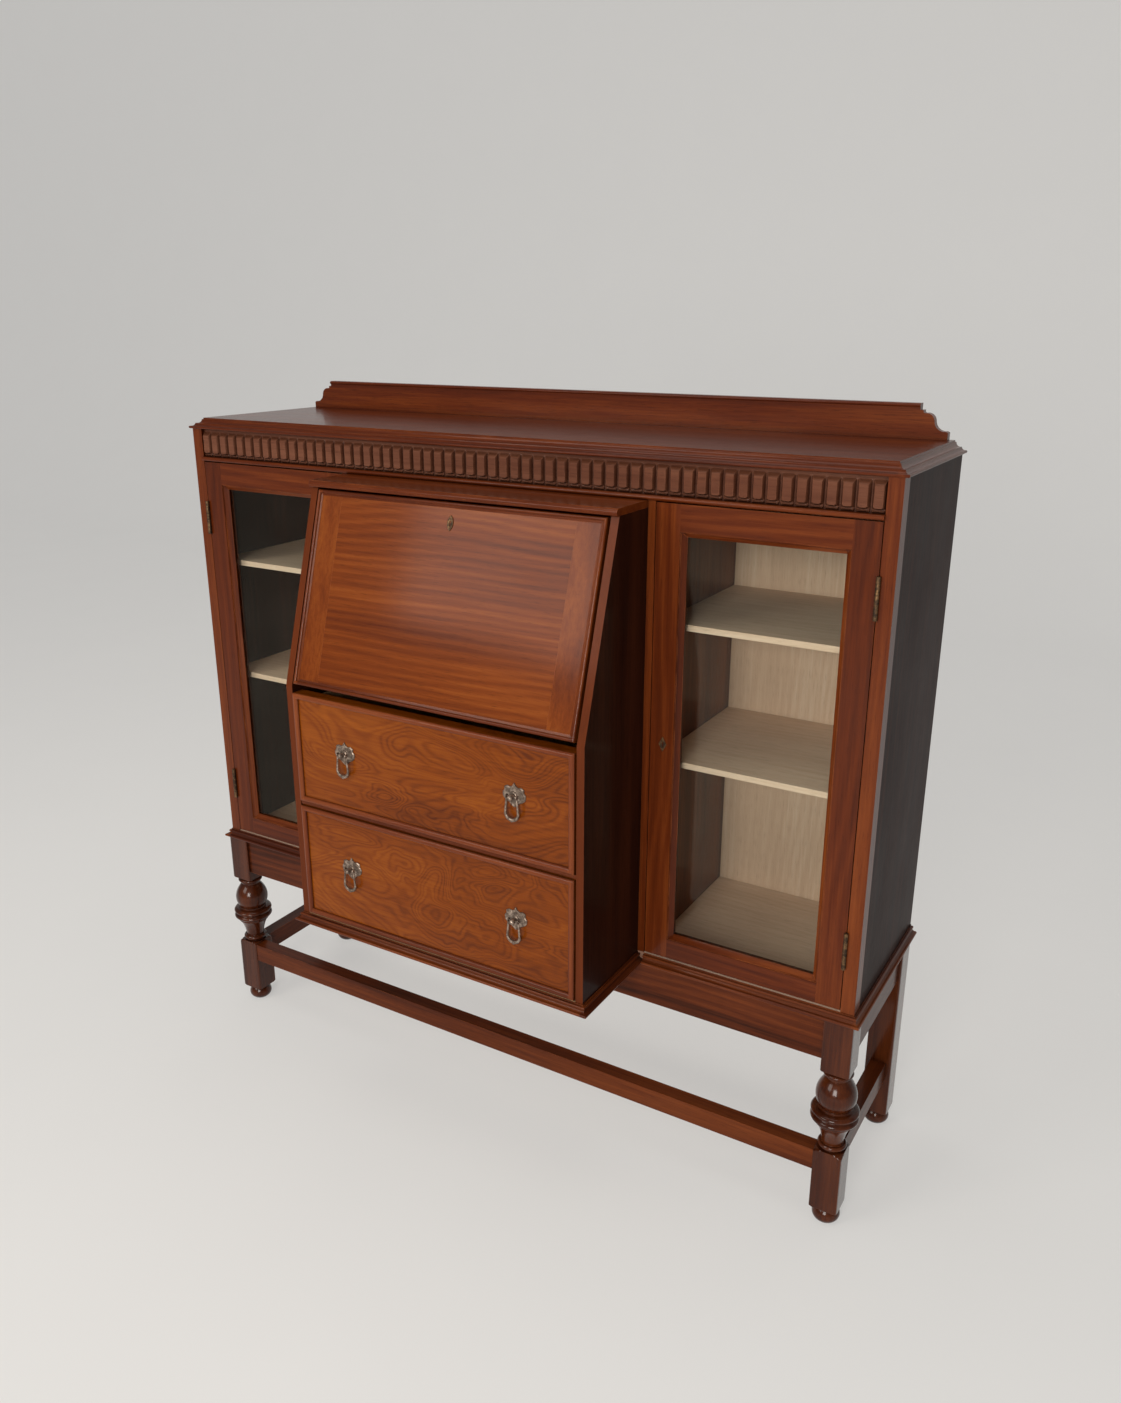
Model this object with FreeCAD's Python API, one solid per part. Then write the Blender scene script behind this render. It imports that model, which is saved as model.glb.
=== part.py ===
"""Side-by-side bureau bookcase: a slant-front writing bureau between two glazed cupboards.

Frame: +X to the right, -Y to the front, +Z up, origin at the centre of the footprint on the floor.
All sizes are in millimetres.  Each function builds one sub-part and saves it under its own name.
"""
import FreeCAD, Part
import math
import os

# ---- overall sizes -------------------------------------------------------------------------
TOP_WIDTH = 1220.0            # over the moulded edge of the top board
TOP_Z = 1132.0                # flat top above the floor
CASE_DEPTH = 298.0            # cupboard front plane to the back
BUREAU_PROJECTION = 170.0     # bureau front plane in front of the cupboards
PLINTH_Z = 369.0              # top of the base moulding
BUREAU_HALF = 264.0           # bureau half width over its sides

# ---- boards ------------------------------------------------------------------------------
TOP_THICK = 17.0
TOP_FLARE = 18.0              # how far the moulded edge runs out from the flat
TOP_LIP_FRONT = 3.0           # lip in front of the cupboard plane
SIDE_OVERHANG = 6.0           # lip beyond the case side
SIDE_THICK = 14.0
STILE_WIDTH = 20.0            # corner stile
STILE_DEPTH = 24.0
PARTITION_THICK = 11.0
BUREAU_SIDE_THICK = 12.0
BOTTOM_THICK = 15.0
BACK_THICK = 6.0
PLY_THICK = 9.0
SHELF_HOUSING = 4.0
SHELF_SETBACK = 26.0
SHELF_HEIGHTS = (674.0, 880.0)

# ---- gallery and frieze ----------------------------------------------------------------------
GALLERY_HEIGHT = 49.0
GALLERY_THICK = 13.0
GALLERY_HALF_FOOT = 584.0
GALLERY_HALF_TOP = 543.0
FRIEZE_HEIGHT = 41.0
FRIEZE_SETBACK = 5.0
FRIEZE_THICK = 14.0
CORNICE_GAP = 5.0
BAR_COUNT = 60
BAR_RELIEF = 5.5
BEAD_HEIGHT = 7.0
BEAD_RELIEF = 5.0

# ---- stand ---------------------------------------------------------------------------------
MOULD_HEIGHT = 15.0
MOULD_OUT = 11.0
LEG_SIZE = 43.0
LEG_PROUD = 7.0               # stand in front of the cupboard plane
LEG_SIDE_PROUD = 3.0
UPPER_BLOCK = 86.0
LOWER_BLOCK_TOP = 132.0
FOOT_HEIGHT = 28.0
APRON_DEPTH = 68.0
APRON_THICK = 20.0
APRON_SETBACK = 5.0
STRETCHER_HEIGHT = 34.0
STRETCHER_THICK = 25.0
STRETCHER_TOP = 129.0
TURNING_UNITS = 136.0         # height that the turned outline is drawn to

# ---- bureau ------------------------------------------------------------------------------
LEAN_DEG = 16.7
FALL_THICK = 15.0
FALL_LIP = 12.0
KNEE_RISE = 10.0              # knee of the bureau side above the upper drawer
FALL_LIP_THICK = 8.0
FALL_SIDE_GAP = 3.5
FALL_CLAMP_WIDTH = 46.0
FALL_EDGE_RELIEF = 3.5
FALL_EDGE_WIDTH = 9.0
FALL_LOCK_HALF = 32.0         # half width of the fall's lock case
FALL_LOCK_HEIGHT = 40.0
FALL_LOCK_DEPTH = 11.0
FALL_BOLT_HALF = 11.0
FALL_BOLT_BACK = 8.0          # bolt's outer face from the fall's inner face
FALL_BOLT_FRONT = 3.0
FALL_BOLT_LENGTH = 21.4
FALL_KEY_DROP = 30.0          # key plate below the fall's upper edge
FALL_HINGE_SHARE = 0.62       # hinge's place on the half width of the fall
BED_THICK = 16.0
BED_TONGUE = 6.5
BUREAU_TOP_THICK = 10.0
BUREAU_TOP_NOSE = 8.0
LOWER_DRAWER_HEIGHT = 190.5
UPPER_DRAWER_HEIGHT = 178.5
DRAWER_RAIL = 6.0
DRAWER_FRONT_THICK = 19.0
DRAWER_WALL = 9.0
DRAWER_BOTTOM = 6.0
DRAWER_EDGE_WIDTH = 9.0
DRAWER_EDGE_RELIEF = 5.0
DRAWER_BACK_GAP = 13.0
DRAWER_SIDE_DROP = 12.0       # drawer sides lower than the front
DRAWER_BOTTOM_RISE = 8.0      # drawer bottom above the sides' lower edge
GUIDE_HEIGHT = 18.0
STAY_RADIUS = 100.0
STAY_SPAN_DEG = 140.0
STAY_THICK = 3.0
STAY_WIDTH = 5.0
KEEPER_DEG = 131.0
KEEPER_DEPTH = 9.0
KEEPER_HEIGHT = 18.0
STAY_HEAD_RADIUS = 4.2
STAY_FOOT_HALF = 20.0
NICHE_DEPTH = 190.0
NICHE_BOARD = 7.0
NICHE_SHELF_SHARE = 0.52      # height of the middle shelf in the nest
NICHE_LOWER_SHARES = (-0.42, 0.42)
NICHE_UPPER_SHARES = (-0.6, -0.2, 0.2, 0.6)
STOP_STRIP_START = 140.0      # foot of the stop strip along the fall
STOP_STRIP_DEPTH = 10.0

# ---- doors ---------------------------------------------------------------------------------
DOOR_THICK = 18.0
DOOR_STILE = 36.0
DOOR_RAIL_TOP = 37.0
DOOR_RAIL_BOTTOM = 31.0
GLAZING_BEAD = 8.0
GLASS_THICK = 3.0
KNUCKLE_RADIUS = 3.0
KNUCKLE_OUT = 2.5
HINGE_LENGTH = 56.0
LEAF_THICK = 1.5
LEAF_WIDTH = 17.0
PIN_RADIUS = 1.3
BOLT_TRAVEL = 6.0
FALL_BOLT_TRAVEL = 11.0
DOOR_LOCK_DEEP = 28.0         # door's lock case from the door's edge
DOOR_LOCK_HALF = 20.0
DOOR_BOLT_HALF = 6.0
DOOR_BOLT_LENGTH = 20.0
OVOLO_DEPTH = 10.0            # rebate in front of the pane

# ---- handles -------------------------------------------------------------------------------
HANDLE_SPREAD = 306.0
HANDLE_RISE = 8.0             # pin above the middle of the drawer
PLATE_WIDTH = 38.0
PLATE_HEIGHT = 37.0
PLATE_THICK = 2.0
POST_REACH = 11.0
POST_RADIUS = 3.2
BALL_RADIUS = 4.6
DROP_SETBACK = 3.2            # pin behind the end of the post
DROP_PIN_RADIUS = 1.3
DROP_ROD = 2.1
DROP_EYE_HALF = 8.2
DROP_EYE_RADIUS = 3.0
DROP_EYE_THICK = 3.0
DROP_TIP_RADIUS = 2.5
DROP_BOTTOM_RADIUS = 10.5
DROP_LENGTH = 35.0

# ---- fits ----------------------------------------------------------------------------------
JOINT_GAP = 0.4               # between pieces that move past each other
DOOR_GAP = 1.2
SWING_GAP = 0.6               # round what turns with the fall
PIN_PLAY = 0.06
FIT_GAP = 0.3

# ---- worked out from the sizes above ---------------------------------------------------------
CASE_HALF = TOP_WIDTH / 2 - SIDE_OVERHANG
HANDLE_REACH = POST_REACH + BALL_RADIUS + 0.4
DEPTH = CASE_DEPTH + BUREAU_PROJECTION + HANDLE_REACH
BACK_Y = DEPTH / 2
CASE_Y = BACK_Y - CASE_DEPTH
FRONT_Y = CASE_Y - BUREAU_PROJECTION
INNER_BACK_Y = BACK_Y - BACK_THICK
TOP_BASE_Z = TOP_Z - TOP_THICK
FRIEZE_TOP_Z = TOP_BASE_Z - CORNICE_GAP
FRIEZE_BASE_Z = FRIEZE_TOP_Z - FRIEZE_HEIGHT
BEAD_BASE_Z = FRIEZE_BASE_Z - BEAD_HEIGHT
FLOOR_TOP_Z = PLINTH_Z + 1.0
FLOOR_BASE_Z = FLOOR_TOP_Z - BOTTOM_THICK
MOULD_BASE_Z = PLINTH_Z - MOULD_HEIGHT
STILE_INNER_X = CASE_HALF - STILE_WIDTH
SIDE_INNER_X = CASE_HALF - SIDE_THICK
PARTITION_INNER_X = BUREAU_HALF
PARTITION_OUTER_X = BUREAU_HALF + PARTITION_THICK
BUREAU_INNER = BUREAU_HALF - BUREAU_SIDE_THICK
LEG_OUTER_X = CASE_HALF + LEG_SIDE_PROUD
LEG_INNER_X = LEG_OUTER_X - LEG_SIZE
LEG_FRONT_Y = CASE_Y - LEG_PROUD
LEG_X = LEG_OUTER_X - LEG_SIZE / 2
LEG_FRONT_MID_Y = LEG_FRONT_Y + LEG_SIZE / 2
LEG_BACK_MID_Y = BACK_Y - LEG_SIZE / 2
UPPER_BLOCK_Z = MOULD_BASE_Z - UPPER_BLOCK
DOOR_LEFT_X = PARTITION_OUTER_X + DOOR_GAP
DOOR_RIGHT_X = STILE_INNER_X - DOOR_GAP
DOOR_BASE_Z = PLINTH_Z + 3.0
DOOR_TOP_Z = BEAD_BASE_Z - 2.0
HINGE_X = (STILE_INNER_X + DOOR_RIGHT_X) / 2
HINGE_Y = CASE_Y - KNUCKLE_OUT
HINGE_CENTRES = (DOOR_BASE_Z + 95.0, DOOR_TOP_Z - 95.0)
LOCK_Z = (DOOR_BASE_Z + DOOR_TOP_Z) / 2
LOWER_DRAWER_Z = FLOOR_TOP_Z + 2.0
LOWER_DRAWER_TOP = LOWER_DRAWER_Z + LOWER_DRAWER_HEIGHT
DIVIDER_Z = LOWER_DRAWER_TOP + DOOR_GAP
UPPER_DRAWER_Z = DIVIDER_Z + DRAWER_RAIL + DOOR_GAP
UPPER_DRAWER_TOP = UPPER_DRAWER_Z + UPPER_DRAWER_HEIGHT
LEAN = math.radians(LEAN_DEG)
KNEE_Z = UPPER_DRAWER_TOP + KNEE_RISE
LIP_RADIUS = math.hypot(FALL_THICK + FALL_EDGE_RELIEF, FALL_LIP - 0.3 * FALL_EDGE_WIDTH)
PIVOT_Z = UPPER_DRAWER_TOP + LIP_RADIUS + SWING_GAP
PIVOT_Y = FRONT_Y + (PIVOT_Z - KNEE_Z) * math.tan(LEAN) + FALL_THICK / math.cos(LEAN)
DRAWER_HALF = BUREAU_INNER - 2.0
DRAWER_BOX_Y = FRONT_Y + DRAWER_FRONT_THICK
DRAWER_END_Y = INNER_BACK_Y - DRAWER_BACK_GAP
FALL_HALF = BUREAU_INNER - FALL_SIDE_GAP
STAY_X = BUREAU_INNER - 11.0
BOX_HALF = STAY_X - STAY_THICK / 2 - 3.5
BUREAU_CEILING_Z = BEAD_BASE_Z - BUREAU_TOP_THICK
NOSE_Y = FRONT_Y + (BUREAU_CEILING_Z - KNEE_Z) * math.tan(LEAN) - BUREAU_TOP_NOSE
FALL_REACH = math.hypot(BUREAU_CEILING_Z - PIVOT_Z - 2 * SWING_GAP, NOSE_Y - PIVOT_Y)
FALL_LENGTH = math.sqrt(FALL_REACH ** 2 - (FALL_THICK + 0.4 * FALL_EDGE_RELIEF) ** 2)
NICHE_FRONT_Y = INNER_BACK_Y - NICHE_DEPTH
BED_BASE_Z = PIVOT_Z - BED_THICK

V = FreeCAD.Vector
X_AXIS = V(1, 0, 0)
Y_AXIS = V(0, 1, 0)
Z_AXIS = V(0, 0, 1)


# ---- helpers -------------------------------------------------------------------------------
def save(name, *solids):
    """Write one node; several solids stay separate pieces."""
    shape = solids[0] if len(solids) == 1 else Part.makeCompound(list(solids))
    shape.exportStep("parts/" + name + ".step")


def box(x0, x1, y0, y1, z0, z1):
    """Box between two corners."""
    return Part.makeBox(x1 - x0, y1 - y0, z1 - z0, V(x0, y0, z0))


def rod(radius, start, axis, length):
    """Cylinder from a start point."""
    return Part.makeCylinder(radius, length, start, axis)


def mirror(shape):
    """Copy on the other side of the middle plane."""
    return shape.mirror(V(0, 0, 0), X_AXIS)


def outline(points):
    """Closed face in X-Z from (x, z) points; a third value makes an arc through that point.

    A point (x, z, (mx, mz)) is reached by an arc through (mx, mz).
    """
    edges = []
    last = V(points[0][0], 0, points[0][1])
    for point in points[1:] + points[:1]:
        here = V(point[0], 0, point[1])
        if (here - last).Length < 1e-6:
            continue
        if len(point) == 3:
            middle = V(point[2][0], 0, point[2][1])
            edges.append(Part.Arc(last, middle, here).toShape())
        else:
            edges.append(Part.makeLine(last, here))
        last = here
    return Part.Face(Part.Wire(edges))


def prism_x(points, x0, x1):
    """Extrude a (y, z) polygon along X."""
    face = Part.Face(Part.makePolygon([V(x0, y, z) for y, z in points + points[:1]]))
    return face.extrude(V(x1 - x0, 0, 0))


def prism_y(points, y0, y1):
    """Extrude an (x, z) polygon along Y."""
    face = Part.Face(Part.makePolygon([V(x, y0, z) for x, z in points + points[:1]]))
    return face.extrude(V(0, y1 - y0, 0))


def prism_z(points, z0, z1):
    """Extrude an (x, y) polygon along Z."""
    face = Part.Face(Part.makePolygon([V(x, y, z0) for x, y in points + points[:1]]))
    return face.extrude(V(0, 0, z1 - z0))


def moulding(profile, path, closed=False):
    """Mitred moulding along a plan path; profile points are (out, up) from the path line.

    The wall is on the left of the path's direction and the moulding on its right.
    """
    count = len(path) if closed else len(path) - 1
    corners = [point[:2] for point in profile] + [point[2] for point in profile if len(point) == 3]
    reach = max(out for out, up in corners)
    inner = min(out for out, up in corners)
    low = min(up for out, up in corners) - 1
    high = max(up for out, up in corners) + 1
    pieces = []
    directions = []
    for i in range(count):
        ax, ay = path[i]
        bx, by = path[(i + 1) % len(path)]
        size = math.hypot(bx - ax, by - ay)
        directions.append(((bx - ax) / size, (by - ay) / size, size))
    for i, (tx, ty, size) in enumerate(directions):
        nx, ny = ty, -tx
        start = mitre(directions, i, -1, closed)
        end = mitre(directions, i, 1, closed)
        ax, ay = path[i]
        bx, by = path[(i + 1) % len(path)]
        section = outline(profile)
        section.rotate(V(0, 0, 0), Z_AXIS, math.degrees(math.atan2(ny, nx)))
        section.translate(V(ax - 2 * reach * tx, ay - 2 * reach * ty, 0))
        run = section.extrude(V(tx, ty, 0) * (size + 4 * reach))
        plan = [(ax + inner * start[0], ay + inner * start[1]),
                (ax + reach * start[0], ay + reach * start[1]),
                (bx + reach * end[0], by + reach * end[1]),
                (bx + inner * end[0], by + inner * end[1])]
        pieces.append(run.common(prism_z(plan, low, high)))
    body = pieces[0]
    if len(pieces) > 1:
        body = body.fuse(pieces[1:]).removeSplitter()
    return body.Solids[0]


def mitre(directions, index, step, closed):
    """Plan offset per unit of reach at one end of a moulding run."""
    tx, ty, _ = directions[index]
    nx, ny = ty, -tx
    other = index + step
    if not closed and (other < 0 or other >= len(directions)):
        return nx, ny
    ox, oy, _ = directions[other % len(directions)]
    mx, my = oy, -ox
    share = 1 + nx * mx + ny * my
    return (nx + mx) / share, (ny + my) / share


def front_frame(profile, x0, x1, z0, z1, y, inward):
    """Closed mitred frame on a vertical face; profile is (across, forward) from the outline."""
    path = [(x0, z0), (x1, z0), (x1, z1), (x0, z1)]
    if inward:
        path.reverse()
    frame = moulding(profile, path, closed=True)
    frame.rotate(V(0, 0, 0), X_AXIS, 90)
    frame.translate(V(0, y, 0))
    return frame


def lean_back(shape):
    """Turn a piece built upright on the pivot line to the slope of the closed fall."""
    shape.translate(V(0, PIVOT_Y, PIVOT_Z))
    shape.rotate(V(0, PIVOT_Y, PIVOT_Z), X_AXIS, -LEAN_DEG)
    return shape


# ---- top, gallery and frieze -----------------------------------------------------------------
def top_edge_profile():
    """Ogee edge with a small arris above and a bead lip below, from the flat's edge outward."""
    lip = 4.0
    middle = TOP_FLARE * 0.55
    return [(-30, 0), (TOP_FLARE - 1.5, 0),
            (TOP_FLARE - 1.5, lip, (TOP_FLARE, lip / 2)),
            (TOP_FLARE - 3.5, lip),
            (middle, lip + 4.5, (TOP_FLARE - 6.0, lip + 1.0)),
            (2.0, TOP_THICK - 2.5, (3.5, lip + 6.5)),
            (0.8, TOP_THICK - 2.5), (0, TOP_THICK - 1.5), (0, TOP_THICK), (-30, TOP_THICK)]


def top_board():
    """Flat top with its moulded edge on the front and both ends."""
    flat = TOP_WIDTH / 2 - TOP_FLARE
    front = CASE_Y - TOP_LIP_FRONT + TOP_FLARE
    path = [(-flat, BACK_Y), (-flat, front), (flat, front), (flat, BACK_Y)]
    edge = moulding(top_edge_profile(), path)
    edge.translate(V(0, 0, TOP_BASE_Z))
    core = box(-flat + 5, flat - 5, front + 5, BACK_Y, TOP_BASE_Z, TOP_Z)
    save("top_board", core.fuse(edge).removeSplitter().Solids[0])


def gallery():
    """Low shaped board along the back of the top, with a bead on its front top edge."""
    foot = GALLERY_HALF_FOOT
    top = GALLERY_HALF_TOP
    high = GALLERY_HEIGHT
    half = [(foot, 0), (foot, 10), (foot - 6, 11.5, (foot - 1.5, 11)),
            (foot - 20, 25, (foot - 16, 16)),
            (top + 8, high - 13, (foot - 24, 33)),
            (top + 5, high - 9, (top + 5, high - 12)), (top, high - 9), (top, high)]
    face = gallery_half(half)
    board = face.extrude(V(0, GALLERY_THICK, 0))
    board.translate(V(0, BACK_Y - GALLERY_THICK, TOP_Z))
    bead = rod(2.2, V(-top, BACK_Y - GALLERY_THICK, TOP_Z + high - 3.0), X_AXIS, 2 * top)
    save("gallery", board.fuse(bead).removeSplitter().Solids[0])


def gallery_half(half):
    """Face of the gallery from its right-hand outline, completed by symmetry."""
    points = list(half)
    for i in range(len(half) - 1, 0, -1):
        x, z = half[i - 1][0], half[i - 1][1]
        if len(half[i]) == 3:
            points.append((-x, z, (-half[i][2][0], half[i][2][1])))
        else:
            if i == len(half) - 1:
                points.append((-half[i][0], half[i][1]))
            points.append((-x, z))
    return outline(points)


def carved_frieze():
    """Board between the corner stiles, carved with a row of upright faceted bars."""
    x0, x1 = -STILE_INNER_X, STILE_INNER_X
    face_y = CASE_Y + FRIEZE_SETBACK
    board = box(x0, x1, face_y, face_y + FRIEZE_THICK, FRIEZE_BASE_Z, TOP_BASE_Z)
    pitch = (x1 - x0) / BAR_COUNT
    bars = [frieze_bar(x0 + (i + 0.5) * pitch, pitch, face_y) for i in range(BAR_COUNT)]
    save("carved_frieze", board.fuse(bars).removeSplitter().Solids[0])


def frieze_bar(x, pitch, y):
    """One bar: raised flat face, chamfered flanks and a sloping facet at its head."""
    wide = pitch * 0.43
    narrow = pitch * 0.27
    base = FRIEZE_BASE_Z + 2.5
    head = FRIEZE_TOP_Z - 1.0
    plan = [(x - wide, y + 1), (x - wide, y), (x - narrow, y - BAR_RELIEF),
            (x + narrow, y - BAR_RELIEF), (x + wide, y), (x + wide, y + 1)]
    bar = prism_z(plan, base, head)
    slope = prism_x([(y - BAR_RELIEF - 1, head - 8.5), (y - BAR_RELIEF - 1, head + 1),
                     (y + 0.6, head + 1)], x - pitch, x + pitch)
    toe = rod(3.2, V(x - pitch, y - BAR_RELIEF - 0.8, base + 0.2), X_AXIS, 2 * pitch)
    return bar.cut(slope).cut(toe)


def frieze_bead():
    """Bead under the carving, over the doors and the bureau."""
    depth = FRIEZE_SETBACK + BEAD_RELIEF
    front = CASE_Y - BEAD_RELIEF
    half = BEAD_HEIGHT / 2
    section = outline([(front + half, BEAD_BASE_Z),
                       (front + half, BEAD_BASE_Z + BEAD_HEIGHT, (front, BEAD_BASE_Z + half)),
                       (front + depth + 12, BEAD_BASE_Z + BEAD_HEIGHT), (front + depth + 12, BEAD_BASE_Z)])
    section.rotate(V(0, 0, 0), Z_AXIS, 90)
    section.translate(V(STILE_INNER_X, 0, 0))
    save("frieze_bead", section.extrude(V(-2 * STILE_INNER_X, 0, 0)))


# ---- case ----------------------------------------------------------------------------------
def hinge_clearance(x, y, centres):
    """Round pockets that the knuckles of a door's hinges turn in."""
    radius = KNUCKLE_RADIUS + JOINT_GAP
    half = HINGE_LENGTH / 2 + JOINT_GAP
    return [rod(radius, V(x, y, z - half), Z_AXIS, 2 * half) for z in centres]


def corner_stiles():
    """Front corner posts, rebated for the hinge leaves."""
    post = box(STILE_INNER_X, CASE_HALF, CASE_Y, CASE_Y + STILE_DEPTH, MOULD_BASE_Z, TOP_BASE_Z)
    cuts = hinge_clearance(HINGE_X, HINGE_Y, HINGE_CENTRES)
    for z in HINGE_CENTRES:
        half = HINGE_LENGTH / 2
        cuts.append(box(STILE_INNER_X - 1, STILE_INNER_X + LEAF_THICK, CASE_Y - 1,
                        CASE_Y + LEAF_WIDTH, z - half, z + half))
    post = post.cut(cuts)
    save("corner_stile_right", post)
    save("corner_stile_left", mirror(post))


def shelf_grooves(x0, x1):
    """Cutters for the shelf housings."""
    front = CASE_Y + SHELF_SETBACK
    return [box(x0, x1, front, INNER_BACK_Y, z, z + PLY_THICK) for z in SHELF_HEIGHTS]


def side_panels():
    """Outer sides behind the corner posts, housed for the shelves and rebated for the back."""
    panel = box(SIDE_INNER_X, CASE_HALF, CASE_Y + STILE_DEPTH, BACK_Y, MOULD_BASE_Z, TOP_BASE_Z)
    grooves = shelf_grooves(SIDE_INNER_X - 1, SIDE_INNER_X + SHELF_HOUSING)
    rebate = box(SIDE_INNER_X - 1, SIDE_INNER_X + 6, INNER_BACK_Y, BACK_Y + 1, 0, TOP_Z)
    panel = panel.cut(grooves + [rebate])
    save("side_panel_right", panel)
    save("side_panel_left", mirror(panel))


def partitions():
    """Walls between the bureau and each cupboard, with the strike for the door's bolt."""
    wall = box(PARTITION_INNER_X, PARTITION_OUTER_X, CASE_Y, INNER_BACK_Y, FLOOR_TOP_Z, BEAD_BASE_Z)
    grooves = shelf_grooves(PARTITION_OUTER_X - SHELF_HOUSING, PARTITION_OUTER_X + 1)
    strike = door_bolt_box(PARTITION_OUTER_X - BOLT_TRAVEL - 1, PARTITION_OUTER_X + 1, 0.6)
    wall = wall.cut(grooves + [strike])
    save("partition_right", wall)
    save("partition_left", mirror(wall))


def case_floor_and_back():
    """Bottom board of the case and the one-piece ply back."""
    floor = box(-SIDE_INNER_X, SIDE_INNER_X, CASE_Y, INNER_BACK_Y, FLOOR_BASE_Z, FLOOR_TOP_Z)
    posts = box(STILE_INNER_X, CASE_HALF, CASE_Y - 1, CASE_Y + STILE_DEPTH, 0, TOP_Z)
    save("case_bottom", floor.cut([posts, mirror(posts)]))
    back = box(-SIDE_INNER_X - 6, SIDE_INNER_X + 6, INNER_BACK_Y, BACK_Y, FLOOR_BASE_Z, TOP_BASE_Z)
    save("back_panel", back)


def shelves():
    """Two ply shelves in each cupboard, housed in the side and the partition."""
    front = CASE_Y + SHELF_SETBACK
    x0 = PARTITION_OUTER_X - SHELF_HOUSING
    x1 = SIDE_INNER_X + SHELF_HOUSING
    boards = [box(x0, x1, front, INNER_BACK_Y, z, z + PLY_THICK) for z in SHELF_HEIGHTS]
    save("shelves_right", *boards)
    save("shelves_left", *[mirror(board) for board in boards])


# ---- stand ---------------------------------------------------------------------------------
def base_profile():
    """Fillet, bead, cove and lower lip of the base moulding."""
    out = MOULD_OUT
    return [(0, 0), (out - 1.5, 0), (out - 1.5, 4.5, (out, 2.2)), (out - 3.0, 4.5),
            (3.6, 9.5, (5.0, 5.6)), (4.6, 9.5), (2.6, 13.0, (4.7, 11.8)), (1.2, 13.0),
            (1.2, MOULD_HEIGHT), (0, MOULD_HEIGHT)]


def base_moulding():
    """Moulding round the foot of the case, along the cupboards and round the bureau."""
    half = BUREAU_HALF
    left = [(-CASE_HALF, BACK_Y), (-CASE_HALF, CASE_Y), (-half - MOULD_OUT, CASE_Y)]
    bureau = [(-half, CASE_Y), (-half, FRONT_Y), (half, FRONT_Y), (half, CASE_Y)]
    run = moulding(base_profile(), left)
    centre = moulding(base_profile(), bureau)
    run.translate(V(0, 0, MOULD_BASE_Z))
    centre.translate(V(0, 0, MOULD_BASE_Z))
    save("base_moulding", run, centre, mirror(run))


def turned_profile():
    """Half outline (radius, height above the lower block) of the turned part of a front leg."""
    total = UPPER_BLOCK_Z - LOWER_BLOCK_TOP
    unit = total / TURNING_UNITS
    steps = [(16.5, 0), (16.5, 3), (19.5, 3), (19.5, 10, (21.5, 6.5)), (16.5, 10), (16.5, 13),
             (27, 44, (20.5, 30)), (28, 44), (28, 50), (33, 50), (33, 59, (35.5, 54.5)), (31.5, 59),
             (31.5, 61), (33, 61), (33, 70, (35.5, 65.5)), (27, 70), (24, 73), (19, 119, (29.8, 97)),
             (16.5, 121), (16.5, 125), (20, 126), (20, 133, (22.5, 129.5)), (17.5, 134), (17.5, 136)]
    points = [(0, 0)]
    for radius, height, *through in steps:
        middle = [(mid_radius, mid_height * unit) for mid_radius, mid_height in through]
        points.append((radius, height * unit, *middle))
    return points + [(0, total)]


def front_legs():
    """Front leg: square block, turned vase with rings, square block with a bun foot."""
    half = LEG_SIZE / 2
    upper = box(-half, half, -half, half, UPPER_BLOCK_Z, MOULD_BASE_Z)
    lower = box(-half, half, -half, half, FOOT_HEIGHT, LOWER_BLOCK_TOP)
    turned = outline(turned_profile()).revolve(V(0, 0, 0), Z_AXIS, 360)
    turned.translate(V(0, 0, LOWER_BLOCK_TOP))
    leg = chamfer_top(lower, half).fuse([upper, turned, bun_foot()]).removeSplitter().Solids[0]
    leg.translate(V(LEG_X, LEG_FRONT_MID_Y, 0))
    save("leg_front_right", leg)
    save("leg_front_left", mirror(leg))


def chamfer_top(block, half):
    """Bevel the upper corners of the lower block, as turned from the square."""
    cone = Part.makeCone(half * 1.9, half * 1.06, half * 0.5,
                         V(0, 0, LOWER_BLOCK_TOP - half * 0.5 + 0.01), Z_AXIS)
    shaft = rod(half * 1.9, V(0, 0, 0), Z_AXIS, LOWER_BLOCK_TOP - half * 0.5 + 0.02)
    return block.common(cone.fuse(shaft)).Solids[0]


def bun_foot():
    """Round foot under the square block."""
    radius = LEG_SIZE / 2 - 0.5
    high = FOOT_HEIGHT
    face = outline([(0, 0), (radius - 7, 0), (radius - 5, high - 5, (radius, high * 0.45)),
                    (radius - 7, high - 3), (radius - 7, high + 1), (0, high + 1)])
    return face.revolve(V(0, 0, 0), Z_AXIS, 360)


def back_legs():
    """Plain square back leg on a round foot."""
    half = LEG_SIZE / 2
    post = box(-half, half, -half, half, FOOT_HEIGHT, MOULD_BASE_Z)
    leg = post.fuse(bun_foot()).removeSplitter().Solids[0]
    leg.translate(V(LEG_X, LEG_BACK_MID_Y, 0))
    save("leg_back_right", leg)
    save("leg_back_left", mirror(leg))


def aprons():
    """Four rails of the stand, between the upper blocks of the legs."""
    z0, z1 = MOULD_BASE_Z - APRON_DEPTH, MOULD_BASE_Z
    front_y = LEG_FRONT_Y + APRON_SETBACK
    back_y = BACK_Y - APRON_SETBACK
    side_x = LEG_OUTER_X - APRON_SETBACK
    front = box(-LEG_INNER_X, LEG_INNER_X, front_y, front_y + APRON_THICK, z0, z1)
    back = box(-LEG_INNER_X, LEG_INNER_X, back_y - APRON_THICK, back_y, z0, z1)
    side = box(side_x - APRON_THICK, side_x, LEG_FRONT_Y + LEG_SIZE, BACK_Y - LEG_SIZE, z0, z1)
    save("aprons", front, back, side, mirror(side))


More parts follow.
